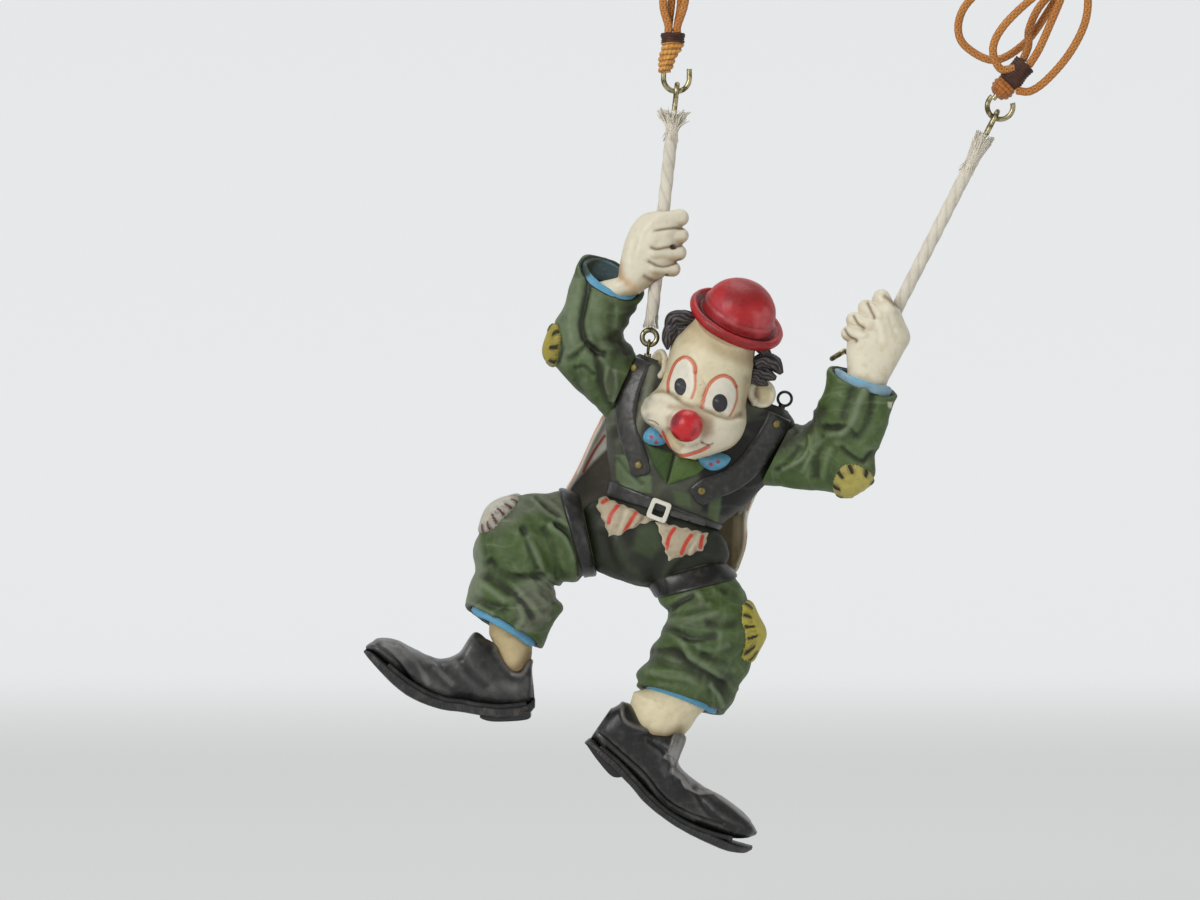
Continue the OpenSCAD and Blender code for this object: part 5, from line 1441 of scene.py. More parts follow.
def make_jacket():
    cloth, form = bpy.data.materials["green_cloth_paint"], FORMS["coat"]
    webbing, sky = bpy.data.materials["harness_webbing"], bpy.data.materials["blue_paint_and_shade"]
    coat = canvas(form.grid(190, 210), tone(66, 67, 56), ((GREY_WASH, 0.3, 8, 3), (PALE_GREEN, 0.2, 6, 5)), wide=1.3)
    coat.area(
        BLACK, 0.92,
        [4, -196, 28, -198, 41, -190, 48, -198, 46, -212, 36, -226, 20, -238, 9, -236, 10, -224, 2, -212],
        2.5,
    )
    coat.area(tone(50, 49, 46), 0.9, [-16, -167, -7, -167, -5, -186, -12, -190, -12, -200, -17, -214, -25, -212,
        -21, -190], 1.5)
    coat.area(tone(38, 38, 32), 0.85, [-12, -180, -4, -196, -2, -214, -8, -222, -14, -206, -15, -190], 2)
    coat.area(tone(92, 108, 74), 0.9, [-27, -212, -22, -212, -20, -218, -12, -221, -12, -228, -20, -228, -27, -222], 1)
    coat.area(tone(80, 94, 62), 0.85, [12.4, -230, 14, -228, 17.4, -230, 16, -241, 11.5, -241], 1.2)
    coat.area(tone(76, 92, 58), 0.85, [-2.8, -227, 4, -228.5, 4.6, -234, -2, -233], 1.2)
    coat.folds(
        (1.1, -1.2, [-15, -172, -18, -183, -20.5, -194, -22, -200, -21, -207]),
        (1.7, 1.0, [-12, -176, -13.5, -186, -16.5, -197, -20, -207]), (1.2, -0.8, [-24, -180, -26, -192, -27, -204]),
        (1.4, 0.8, [-26, -176, -28, -190, -29, -200]), (1.0, -0.7, [-26, -214, -22, -219, -16, -224]),
        (1.2, 0.6, [-24, -225, -18, -229]),
    )
    # Painted shade in the groove beside the strap, and a painted highlight on the ridge beside it
    coat.paint(WASH_AND_SHADE, 0.85, 1.0, [-15, -172, -18, -183, -20.5, -194, -22, -200, -21, -207])
    coat.paint(tone(124, 120, 104), 0.55, 1.7, [-12, -176, -13.5, -186, -16.5, -197, -20, -207], soft=1.6)
    coat.height += 0.5 * (creases(coat.points, 9, 5) - 0.35)
    carve(coat, 6.0, 0.16)
    coat.wash_shade_and_highlight(6, 0.7, 0.35, 0.5)
    piece("cloth_jacket", coat.skin(), cloth, "jacket")

    flaps = Skin()
    for corners, ground in (
        (((-14.5, -207), (-3, -211.5), (-6, -224), (-11.5, -216)), tone(54, 76, 32)),
        (((-2, -212), (13, -215), (6.5, -220.6), (-5.5, -224.5)), tone(74, 98, 44)),
    ):
        points, edge = gore(form, *corners, bulge=0.5)
        made = canvas(points, ground, ((DEEP_GREEN, 0.35, 4, 3),))
        carve(made, 3.0, 0.14)
        made.wash_shade_and_highlight(3, 0.8, 0.5, 0.2)
        # A painted highlight along the round edges
        made.tint(PALE_GREEN, edge * 0.35)
        flaps.plate(made)
    piece("cloth_lapels", flaps, cloth, "lapels")

    bow = Skin()
    for corners, dots in (
        (((-15.5, -203.5), (-8, -199), (-4.5, -206), (-12, -208.5)), ((-12, -204.5), (-8, -204), (-10, -206.8))),
        (((7, -211.5), (19.5, -211.5), (19, -216.5), (11, -218.5)), ((11, -212.5), (16, -215), (13, -216))),
    ):
        points, _ = gore(form, *corners, top=TRIM_LIFT + 1.2, under=TRIM_LIFT, bulge=3.0, puffed=1)
        made = canvas(points, BLUE, ((DULL_BLUE, 0.5, 3, 3), (tone(150, 196, 214), 0.3, 2, 5)))
        made.paint(tone(176, 40, 52), 0.9, 0.85, *dots, soft=0.4)
        carve(made, 2.5, 0.14)
        made.wash_shade_and_highlight(3, 0.8, 0.4, 0.2, tone(58, 96, 116), tone(160, 204, 222))
        bow.plate(made)
    piece("cloth_bow_tie", bow, sky, "bow_tie")

    straps = Skin()
    armhole = FORMS["right_sleeve"].ribs[0]
    for route, width, ground, rub_and_highlight, strength in (
        (RIGHT_STRAP, 8.5, tone(48, 47, 44), PALE_GREY, 0.2), (LEFT_STRAP, 10, tone(36, 35, 33), PALE_GREY, 0.12),
    ):
        points, edge = strap(form, route, width, 170, 26)
        if width == 8.5:
            points = kept_right_of(points, armhole[2:4], armhole[0:2])
        made = canvas(points, ground, ((ground * 0.5, 0.6, 5, 3), (rub_and_highlight, strength, 4, 7), (BROWN * 0.7, 0.25, 3, 9)))
        carve(made, 3.5, 0.16)
        made.wash_shade_and_highlight(3, 0.85, 0.5, 0.16, BLACK, rub_and_highlight)
        # Lighter edges: rubbed paint and painted highlight
        made.tint(rub_and_highlight, edge * 0.25)
        straps.plate(made)
    piece("webbing_harness", straps, webbing, "harness")

    studs = Skin()
    for spot in RIVETS:
        s, t = form.place(np.array(spot, float))
        at = form.spot(s, t, TRIM_LIFT + 2 * GLUE)
        out = form.spot(s, t, TRIM_LIFT + 2 * GLUE + 1) - at
        # A dome: a quarter round whose radius is cos to the power 0.6, with a slight ripple
        a = np.linspace(0, math.pi / 2 - 0.02, 12)
        profile = np.stack([1.6 * np.cos(a) ** 0.6, 0.95 * np.sin(a)], 1)
        dome = turned(profile, 40, at, out, lambda t, h: 0.05 * np.sin(5 * t) * (1 - h))
        tint = mix(GOLD, GOLD * 0.45, smooth_step(0.1, 0.7, rough(dome, 0.8, 3)))
        studs.add(dome, tint)
    brass = painted("gold_paint", 0.36, 0.4, 0, 0.2, 0.3)
    piece("domed_rivets", studs, brass, "rivets")

    belt = Skin()
    made = canvas(belt_round(form, 6.05, 7.0), tone(46, 47, 45), ((BLACK, 0.6, 5, 3), (PALE_GREY, 0.25, 4, 7)))
    # Painted highlights along the crest of the belt
    made.paint(PALE_GREY, 0.6, 0.9, [-26, -229, -17, -232], [-4, -237, 6, -240], [12, -241, 16, -242])
    carve(made, 3.5, 0.14)
    made.wash_shade_and_highlight(3, 0.85, 0.5, 0.16, BLACK, PALE_GREY)
    belt.ring(made)
    points, edge = strap(form, [-5, -237, 2, -239.5, 9, -241], 5, 60, 20, 2 * TRIM_LIFT - GLUE, TRIM_LIFT)
    made = canvas(points, tone(66, 65, 61), ((BLACK, 0.5, 3, 5),))
    made.paint(BLACK, 0.8, 0.5, [0.5, -239], [4, -240], lift=-0.3)
    carve(made, 2.5, 0.12)
    made.tint(PALE_GREY, edge * 0.5)
    belt.plate(made)
    piece("leather_belt", belt, webbing, "belt")

    # The buckle: a bar of nearly square section, carried round a square whose corners are round
    # because cos and sin are taken to a power well below one
    a, b = turns(160), turns(28)
    half = (BUCKLE_WIDE - BUCKLE_BAR) / 2
    square = np.stack([power(np.cos(a), 0.28), 0 * a, power(np.sin(a), 0.28)], 1)
    wide = power(np.cos(b), 0.5) * BUCKLE_BAR / 2
    thick = power(np.sin(b), 0.5) * 0.8
    frame_points = square[:, None] * (half + wide)[None, :, None] + np.array([0, 1, 0]) * thick[None, :, None]
    points = spun(frame_points, 0, SHOULDER_SLOPE, 0) + BUCKLE_AT
    made = canvas(points, tone(216, 212, 198), ((SHADED_CREAM, 0.3, 3, 3), (BROWN, 0.2, 2.5, 7)))
    carve(made, 2.5, 0.1)
    bone = painted("buckle_paint", 0.46, 0.2, 0, 0.2, 0.1)
    skin = Skin().ring(made)
    piece("square_buckle", skin, bone, "buckle")


class MakeJacket(Make):
    """The jacket with its lapels, bow tie, harness, rivets, belt and buckle"""

    bl_idname = "toy.jacket"
    bl_label = "Jacket, harness and belt"

    def execute(self, context):
        make_jacket()
        return {"FINISHED"}


RIGHT_STRAP = [-15.5, -172, -18.5, -178, -21.5, -187, -22.5, -196, -20.5, -206, -17.5, -215, -16.5, -221]
LEFT_STRAP = [41.5, -195.5, 39, -201, 34.5, -208, 28, -217, 20, -223, 11, -226.5, 5.5, -230.5]
RIVETS = [(-18.5, -176), (-17, -216.5), (8.5, -227), (39.5, -199)]
SHOULDER_SLOPE = math.degrees(math.atan2(24, 62.5))
BUCKLE_WIDE, BUCKLE_BAR = 8.8, 1.9
BUCKLE_AT = np.array([-9, -13 - TRIM_LIFT - 1, -235.2])


def spun(points, x, y, z):
    """Turned about X, then Y, then Z, in degrees."""
    for axis, angle in ((0, x), (1, y), (2, z)):
        a, b = [(1, 2), (2, 0), (0, 1)][axis]
        c, s = math.cos(math.radians(angle)), math.sin(math.radians(angle))
        points = points.copy()
        points[..., a], points[..., b] = (
            c * points[..., a] - s * points[..., b], s * points[..., a] + c * points[..., b],
        )
    return points


def kept_right_of(points, a, b):
    """Moves what lies past the line from A to B of the picture back onto that line."""
    a, b = np.asarray(a, float), np.asarray(b, float)
    ahead = unit(b - a)
    aside = np.array([ahead[1], -ahead[0]])
    over = np.minimum((points[..., [0, 2]] - a) @ aside - 0.05, 0)
    points = points.copy()
    points[..., 0] -= over * aside[0]
    points[..., 2] -= over * aside[1]
    return points


def make_shirt():
    linen = painted("shirt_paint", 0.56, 0.08, 0.3, 0.2, 0.14)
    form = FORMS["seat"]
    tails = Skin()
    for corners, stripes in (
        (
            ((-33, -229), (-34.6, -233.5), (-29.5, -246.4), (-10.5, -239)),
            [[-32.5, -232, -28, -229.2], [-30, -240.5, -29, -237, -25, -232],
                [-23.5, -244.5, -20.1, -239, -17.4, -235]],
        ),
        (
            ((-10.5, -239.5), (-4.8, -256.3), (9.5, -251.8), (11.5, -245)),
            [[-5.8, -251.4, -4.3, -245.9, -2.3, -243], [0.6, -253.3, 2.6, -248.9, 4.6, -245.9],
                [8.5, -250.9, 9.3, -246.4]],
        ),
    ):
        points, edge = gore(form, *corners, size=76, ragged=0.3)
        # The tails take the shirt's paint darkened to two thirds, as painted shade below the jacket
        made = canvas(points, SHIRT * 0.66, ((SHADED_CREAM * 0.6, 0.6, 5, 3), (BROWN, 0.35, 3, 7)))
        made.paint(STRIPE, 0.95, 0.85, *stripes, soft=0.4)
        made.folds((1.6, 0.7, [-26, -246, -22, -236]), (1.4, -0.6, [-20, -246, -15, -237]),
            (1.2, 0.5, [4, -254, 8, -246]))
        carve(made, 4.0, 0.2)
        made.wash_shade_and_highlight(4, 0.8, 0.4, 0.3, BROWN * 0.7, CREAM)
        made.tint(CREAM, edge * 0.4)
        tails.plate(made)
    piece("striped_shirt_tails", tails, linen, "shirt_tails")

    # The back flap: half rounds between the two edges of its ribs, outside and inside, which come
    # together in round edges, so that it is a plate as thick as thin says
    form = FORMS["back"]
    u = uneven(120)[:, None]
    v, outer = (row[None] for row in there_and_back(88))
    t, inner = v * math.pi, 1 - outer
    edges = [np.sqrt(np.clip(1 - np.abs(2 * way - 1) ** 30, 0, 1)) for way in (u, t / math.pi)]
    swell = edges[0] * edges[1]
    ribs = curve(form.ribs, u * form.end)
    middle, half = (ribs[..., 0:2] + ribs[..., 2:4]) / 2, (ribs[..., 2:4] - ribs[..., 0:2]) / 2
    thin = 2.6 * (0.5 - swell * (0.5 - inner))
    k = 1 - thin / np.linalg.norm(half, axis=-1)
    x = middle[..., 0] + half[..., 0] * k * np.cos(t)
    z = middle[..., 1] + half[..., 1] * k * np.cos(t)
    y = ribs[..., 4] + (ribs[..., 5] - ribs[..., 4] - thin) * np.sin(t)
    made = canvas(np.stack([x, y, z], -1), tone(242, 238, 224), ((SHADED_CREAM, 0.3, 8, 3), (BROWN * 1.2, 0.12, 5, 7)))
    depth = np.broadcast_to(inner, x.shape)
    across = smooth_step(0.75, 1.0, np.sin(0.33 * (x * 0.9 - z * 0.42 + 8)))
    made.tint(STRIPE, across * 0.85 * (1 - depth))
    # Painted shadow of the figure on the inside of the flap: dark brown, then brown and tan towards its cream right
    # edge
    made.area(
        tone(56, 48, 36), 0.9,
        [-20, -186, -27, -194, -28, -199.6, -30.9, -209.5, -35.9, -214.4, -44.7, -224.2, -52, -234, -52, -270,
            24, -270, 24, -240, 26.5, -226, 32, -214, 32, -196], 1.6,
    )
    made.area(tone(124, 106, 76), 0.7, [17, -222, 22, -220, 23, -262, 16, -262], 3)
    made.area(tone(176, 158, 118), 0.85, [22.5, -238, 27, -236, 28.2, -264, 21.5, -264], 1.5)
    made.paint(STRIPE, 0.9, 0.55, [-31.6, -204, -36, -210.5, -40.5, -219], [31.5, -224, 28.4, -235], soft=0.5)
    made.height += 0.5 * rough(made.points, 14, 4) * (1 - depth)
    carve(made, 6.0, 0.2)
    made.wash_shade_and_highlight(5, 0.7, 0.3, 0.4, BROWN * 0.8, CREAM)
    made.tint(CREAM, (1 - swell) * 0.6)
    skin = Skin().plate(made)
    piece("striped_shirt_back", skin, linen, "shirt_back")


class MakeShirt(Make):
    """The striped shirt: two tails over the seat, and the stiff flap that stands out behind"""

    bl_idname = "toy.shirt"
    bl_label = "Shirt tails and back flap"

    def execute(self, context):
        make_shirt()
        return {"FINISHED"}


def make_shoes():
    sock = painted("sock_paint", 0.56, 0.1, 0, 0.2, 0.1)
    leather = painted("shoe_paint", 0.4, 0.18, 0, 0.2, 0.24, 0.4)
    rubber = painted("sole_paint", 0.5, 0.1, 0, 0.25, 0.2)
    shins = Skin()
    t = turns(140)
    for leg, k, name, ground in (
        ("right_leg", 0.5, "right_shin", tone(188, 170, 128)), ("left_leg", 0.62, "left_shin", tone(220, 208, 172)),
    ):
        form = FORMS[name]
        upper = out_of_tube(leg, k, form, t, smooth_step(0, 1, np.linspace(0, 1, 22)))
        lower = form.spot(np.linspace(0, form.end, 70)[:, None], t[None])
        made = canvas(np.concatenate([upper, lower]), ground, ((SHADED_CREAM, 0.4, 5, 3), (BROWN, 0.12, 4, 7)))
        made.height += 0.5 * rough(made.points, 9, 4)
        carve(made, 4.0, 0.12)
        # Painted shadow round the ankles, at the tops of the shoes
        made.paint(BROWN, 0.7, 2.6, [-14, -329, -6, -331, 0, -328], [-70, -303, -66, -300, -63, -296])
        made.wash_shade_and_highlight(3, 0.6, 0.3, 0.3, BROWN * 0.9, CREAM)
        shins.lay(made)
    piece("socked_shins", shins, sock, "shins")

    right = canvas(FORMS["right_shoe"].grid(210, 160), SHOE_GREY, SHOE_CLOUDS)
    right.folds(
        (1.3, -1.0, [-129, -290, -121, -297, -115, -305, -110, -313]),
        (2.0, 0.8, [-105, -297, -101, -303, -96, -308]), (1.2, 0.8, [-88, -285, -82, -287, -78, -294]),
        (1.2, 1.2, [-80, -290, -77, -296, -74, -301, -70, -304.5, -66, -304, -63, -299]),
        (2.0, -0.6, [-92, -298, -88, -304, -82, -309]), (1.4, 0.6, [-118, -292, -111, -299, -106, -308]),
    )
    right.paint(BROWN, 0.4, 0.5, [-80, -290, -77, -296, -74, -301, -70, -304.5, -66, -304, -63, -299], soft=1)
    # Painted shade in the crease and in broad dark areas, with broad painted highlights between them
    right.paint(BLACK, 0.7, 0.8, [-129, -290, -121, -297, -115, -305, -110, -313])
    right.paint(PALE_GREY, 0.7, 2.6, [-107, -306, -104, -310, -98, -313], [-124, -291, -116, -296])
    right.paint(PALE_GREY, 0.7, 2.4, [-96, -297, -90, -292], [-78, -309, -70, -310], [-114, -292, -108, -298])
    right.paint(BLACK, 0.5, 2.4, [-104, -302, -97, -307, -88, -312], [-84, -292, -80, -304, -74, -312])
    finish_shoe(right, "right_shoe", "right_leather_shoe", leather)

    left = canvas(FORMS["left_shoe"].grid(225, 175), SHOE_GREY * 0.25, SHOE_CLOUDS[:1])
    edge = [-3.5, -332, -5, -336, -7, -339, -4, -341.5, -3.5, -346, 0, -348.5, 2, -352, 8, -354.5, 14, -355, 22, -361,
        29, -367]
    left.area(tone(136, 134, 130), 0.85, edge + [34, -360, 16, -330, 0, -326], 0.8, 0.5)
    left.folds(
        (1.1, 1.0, [-24, -315, -24, -322, -20, -326, -14, -328]), (1.2, 0.8, [-3, -332, 0, -326, 6, -328]),
        (1.6, -0.9, [-12, -332, -6, -337, -4, -343]), (1.5, -0.8, [6, -352, 12, -362, 22, -369]),
    )
    left.paint(BROWN * 0.6, 0.5, 0.5, [-24, -315, -24, -322, -20, -326, -14, -328], soft=0.8)
    left.paint(PALE_GREY, 0.5, 0.9, [3, -362, 8, -364.5], [-36, -326, -32, -334])
    left.paint(BLACK, 0.7, 0.4, *stitches(np.array(edge) + 1.6, 2.2), lift=0.2)
    left.paint(BLACK, 0.75, 0.6, [-34, -329, -24, -338, -15, -346, -6, -357, 6, -363.5, 18, -367], lift=-0.5)
    left.paint(PALE_GREY, 0.35, 0.5, [-33, -332, -23, -340.5, -14, -349, -6, -359.5, 6, -365.5])
    finish_shoe(left, "left_shoe", "left_leather_shoe", leather)

    for side, heel, low, high in (
        ("right", [-62.5, -319, -83, -320.8, -79, -323.4, -64, -322.6], -14, 6),
        ("left", [-39.5, -332.5, -33.5, -336, -25, -344.5, -23.5, -346, -28.5, -346, -34.5, -339.5], -20, 0),
    ):
        form = FORMS[side + "_sole"]
        made = canvas(
            form.grid(230, 100), tone(44, 45, 44), ((BLACK, 0.6, 6, 3), (PALE_GREY, 0.4, 4, 7), (BROWN, 0.15, 5, 9))
        )
        layers = np.sin(np.linspace(0, FULL_TURN * 60, 230))[:, None]
        made.height += 0.05 * layers * smooth_step(0.6, 0.2, np.abs(made.out[..., 2]))
        carve(made, 4.0, 0.16)
        made.wash_shade_and_highlight(3, 0.9, 0.5, 0.2, BLACK, PALE_GREY)
        skin = Skin().add(close_ends(made.raised(), 0.3),
            np.concatenate([made.colour[:1]] * 3 + [made.colour] + [made.colour[-1:]] * 3))
        # The heel: its outline carried across the shoe, and drawn in a little at both ends
        outline, _ = even_path(np.reshape(heel + heel[:2], (-1, 2)), 0.4)
        middle = outline.mean(0)
        turn = np.linspace(-math.pi / 2, math.pi / 2, 16)
        y = power(np.sin(turn), 0.4) * (high - low) / 2 + (high + low) / 2
        k = (0.9 + 0.1 * np.cos(turn) ** 0.5)[:, None, None]
        flat = middle + (outline[None] - middle) * k
        block = np.stack([flat[..., 0], np.broadcast_to(y[:, None], flat.shape[:2]), flat[..., 1]], -1)
        skin.add(block, tone(40, 41, 40))
        shoe = FORMS[side + "_shoe"].ribs[1:-2]
        for face, tuck in ((4, 0.9), (5, -0.9)):
            seam = [[rib[2], rib[face] + tuck, rib[3] + 0.3] for rib in shoe]
            welt = round_the_path(even_path(seam, 0.5)[0], 1.15, 20)
            skin.add(welt, mix(tone(36, 37, 36), PALE_GREY, 0.4 * smooth_step(0, 1, rough(welt, 4, 3))))
        piece(side + "_stitched_sole", skin, rubber, side + "_sole")


class MakeShoes(Make):
    """The shins in their pale socks, and both shoes with their soles and heels"""

    bl_idname = "toy.shoes"
    bl_label = "Shins, shoes and soles"

    def execute(self, context):
        make_shoes()
        return {"FINISHED"}


SHOE_CLOUDS = ((BLACK, 0.6, 7, 3), (PALE_GREY, 0.3, 5, 7), (BROWN * 0.7, 0.1, 4, 11))


def finish_shoe(made, node, name, material):
    carve(made, 5.0, 0.16)
    made.wash_shade_and_highlight(5, 0.85, 0.45, 0.35, BLACK, PALE_GREY)
    made.wash_shade_and_highlight(2, 0.4, 0.25, 0.1, BLACK, PALE_GREY)
    piece(name, made.skin(), material, node)


RIGHT_FINGERS = [
    (3.8, [-9.5, -5.5, -114.5], [0, -2, -112.6], [-1.5, 5, -113], [-8, 6, -114]),
    (3.6, [-10, -6, -121], [0.1, -2.5, -120], [-1.5, 5, -120], [-9, 6, -121]),
    (3.6, [-11, -6, -127.5], [-0.8, -2.5, -127.2], [-2.5, 5, -127], [-10, 6, -127.5]),
    (3.3, [-11.5, -5, -133.5], [-3, -2, -134.1], [-5, 4, -133.5], [-11, 5, -133]),
]
LEFT_FINGERS = [
    (3.7, [87, -10.5, -152], [84.2, -8, -146.3], [84, 2, -148], [90, 5, -152]),
    (3.5, [83, -12, -155], [77.7, -9, -150.5], [79, 2, -151.5], [87, 5, -156]),
    (3.4, [79, -13, -158.5], [72.6, -10, -155.6], [75, 1, -156], [83.5, 4.5, -160]),
    (3.3, [77, -13.5, -163], [70.3, -11, -161.3], [73.5, -1, -161], [80, 3, -162]),
]
HAND_VOXEL = 0.4


def capsule(a, b, radius):
    """A tube from a to b with round ends: its radius is the root of what a half circle leaves."""
    a, b = np.array(a, float), np.array(b, float)
    turn = np.linspace(-math.pi / 2, math.pi / 2, 11)
    long = np.linalg.norm(b - a)
    h = np.concatenate([radius * np.sin(turn[:5]), np.linspace(0, long, 8), long + radius * np.sin(turn[6:])])
    r = np.concatenate([radius * np.cos(turn[:5]), np.full(8, radius), radius * np.cos(turn[6:])])
    return turned(np.stack([np.maximum(r, 0.02), h], 1), 28, a, b - a)


def made_solid(name, skin, cut):
    """Melts overlapping grids into one skin by a voxel remesh, smooths it, and cuts a mesh out of
    it. Gives the mesh, its points and the directions out of them."""
    rough_one = bpy.data.objects.new(name + "_rough", skin.mesh(name + "_rough"))
    bpy.context.scene.collection.objects.link(rough_one)
    melt = rough_one.modifiers.new("melt", "REMESH")
    melt.mode, melt.voxel_size = "VOXEL", HAND_VOXEL * MM
    even = rough_one.modifiers.new("even", "SMOOTH")
    even.factor, even.iterations = 0.5, 4
    tool = bpy.data.objects.new(name + "_cut", cut.mesh(name + "_cut"))
    bpy.context.scene.collection.objects.link(tool)
    hole = rough_one.modifiers.new("hole", "BOOLEAN")
    hole.operation, hole.solver, hole.object = "DIFFERENCE", "EXACT", tool
    bpy.context.view_layer.update()
    graph = bpy.context.evaluated_depsgraph_get()
    data = bpy.data.meshes.new_from_object(rough_one.evaluated_get(graph))
    for used in (rough_one, tool):
        bpy.data.objects.remove(used)
    while data.color_attributes:
        data.color_attributes.remove(data.color_attributes[0])
    data.name = name
    count = len(data.vertices)
    points, out = np.empty(count * 3, np.float32), np.empty(count * 3, np.float32)
    data.vertices.foreach_get("co", points)
    data.vertex_normals.foreach_get("vector", out)
    data.polygons.foreach_set("use_smooth", np.ones(len(data.polygons), bool))
    data.materials.clear()
    return data, points.reshape(-1, 3).astype(float) / MM, out.reshape(-1, 3).astype(float)


def set_points(data, points):
    data.vertices.foreach_set("co", (points * MM).astype(np.float32).ravel())
    data.update()


def cut_gaps(made, *lines):
    """The gaps between the fingers, grooved and darkened with painted shade."""
    for line in lines:
        made.folds((0.8, -0.7, line))
        made.paint(BROWN, 0.85, 0.55, line)


def paint_right_fist(made):
    cut_gaps(made, [-11, -118, -5, -117, 3, -116.5], [-12, -125, -8, -125.5, 2, -123.5],
        [-13, -131, -7, -133, 0, -130.5])
    made.paint(BROWN * 0.35, 0.9, 0.9, [-2.9, -124.8, -2.2, -124.6], [-6, -137.5, -5.5, -137.2], soft=0.8, lift=-0.8)
    # A painted highlight
    made.paint(CREAM * 1.12, 0.7, 1.6, [-12, -118, -15.5, -124])
    made.paint(tone(188, 140, 92), 0.6, 1.8, [-26, -133, -24, -138, -19, -142])
    made.paint(tone(92, 66, 40), 0.7, 0.9, [-15, -137, -11, -139, -7, -139])
    made.folds((1.6, 0.5, [-12, -114, -16, -120, -18, -128]), (1.2, -0.4, [-19, -122, -21, -130]))


def paint_left_fist(made):
    cut_gaps(made, [79, -148, 80.5, -152, 81.5, -154.5], [73, -153.5, 74.5, -157, 77, -159],
        [69, -159, 71, -162.5, 74, -164])
    made.paint(BROWN, 0.7, 0.9, [86, -145.5, 88, -147, 90, -149])
    made.paint(BROWN * 0.4, 0.8, 0.6, [90.5, -148.5, 92, -150], lift=-0.3)
    # Painted highlights
    made.paint(CREAM * 1.12, 0.7, 1.2, [94, -159, 95, -163], [84, -152, 86, -156])
    made.folds((1.4, 0.5, [83, -152, 85, -158, 86, -165]), (1.0, -0.4, [88, -154, 90, -160]))


def make_hands():
    # The skin's paint also holds painted shade and highlights
    skin_paint = painted("skin_paint_and_shade", 0.46, 0.16, 0, 0.2, 0.1, 0.35)
    t = turns(60)
    for side, k, fingers, hook, direction in (
        ("right", 0.52, RIGHT_FINGERS, RIGHT_HOOK, RIGHT_DIR), ("left", 0.62, LEFT_FINGERS, LEFT_HOOK, LEFT_DIR),
    ):
        form = FORMS[side + "_hand"]
        wrist = out_of_tube(side + "_sleeve", k, form, t, np.linspace(0, 1, 12))
        palm = form.spot(np.linspace(0, form.end, 50)[:, None], t[None])
        skin = Skin().add(np.concatenate([wrist, palm]), CREAM)
        for radius, *joints in fingers:
            for a, b in zip(joints[:-1], joints[1:]):
                skin.add(capsule(a, b, radius), CREAM)
        hole = Skin().add(turned([[2.8, 20], [2.8, 140]], 64, hook, direction), CREAM)
        data, points, out = made_solid(side + "_fist", skin, hole)
        made = Canvas(points, out, CREAM)
        # Painted shade on the faces that turn down
        made.tint(SHADED_CREAM, 0.8 * smooth_step(0.1, 0.8, -out[:, 2]))
        made.speckle(SHADED_CREAM, 0.5, 4, 3)
        made.speckle(tone(176, 142, 100), 0.25, 2.5, 7)
        (paint_right_fist if side == "right" else paint_left_fist)(made)
        axis_at, axes = in_direction(hook, direction)
        local = (points - axis_at) @ axes.T
        # Painted shade round the hole where the rope goes into the fist
        rim = smooth_step(4.4, 2.8, np.hypot(local[:, 0], local[:, 1]))
        made.tint(BROWN, rim * 0.7)
        made.height *= 1 - smooth_step(3.6, 2.9, np.hypot(local[:, 0], local[:, 1]))
        made.height += 0.08 * rough(points, 2.4, 3) * (1 - rim)
        set_points(data, made.raised())
        lay_paint(data, made.colour)
        piece(side + "_fist", data, skin_paint, side + "_hand")


class MakeHands(Make):
    """Both fists, each a palm and four fingers melted together, closed round the hole for the rope"""

    bl_idname = "toy.hands"
    bl_label = "Fists"

    def execute(self, context):
        make_hands()
        return {"FINISHED"}


HAT_AT = np.array([22.3, -6, -157.6])
HAT_LEAN, HAT_NOD = 25.5, 27
CROWN, BRIM = 15.2, 21.0


def from_hat(points):
    """From the hat's own axes, Z up through its crown, to the toy's."""
    return spun(points, HAT_NOD, HAT_LEAN, 0) + HAT_AT


def to_hat(points):
    back = spun(points - HAT_AT, 0, -HAT_LEAN, 0)
    return spun(back, -HAT_NOD, 0, 0)


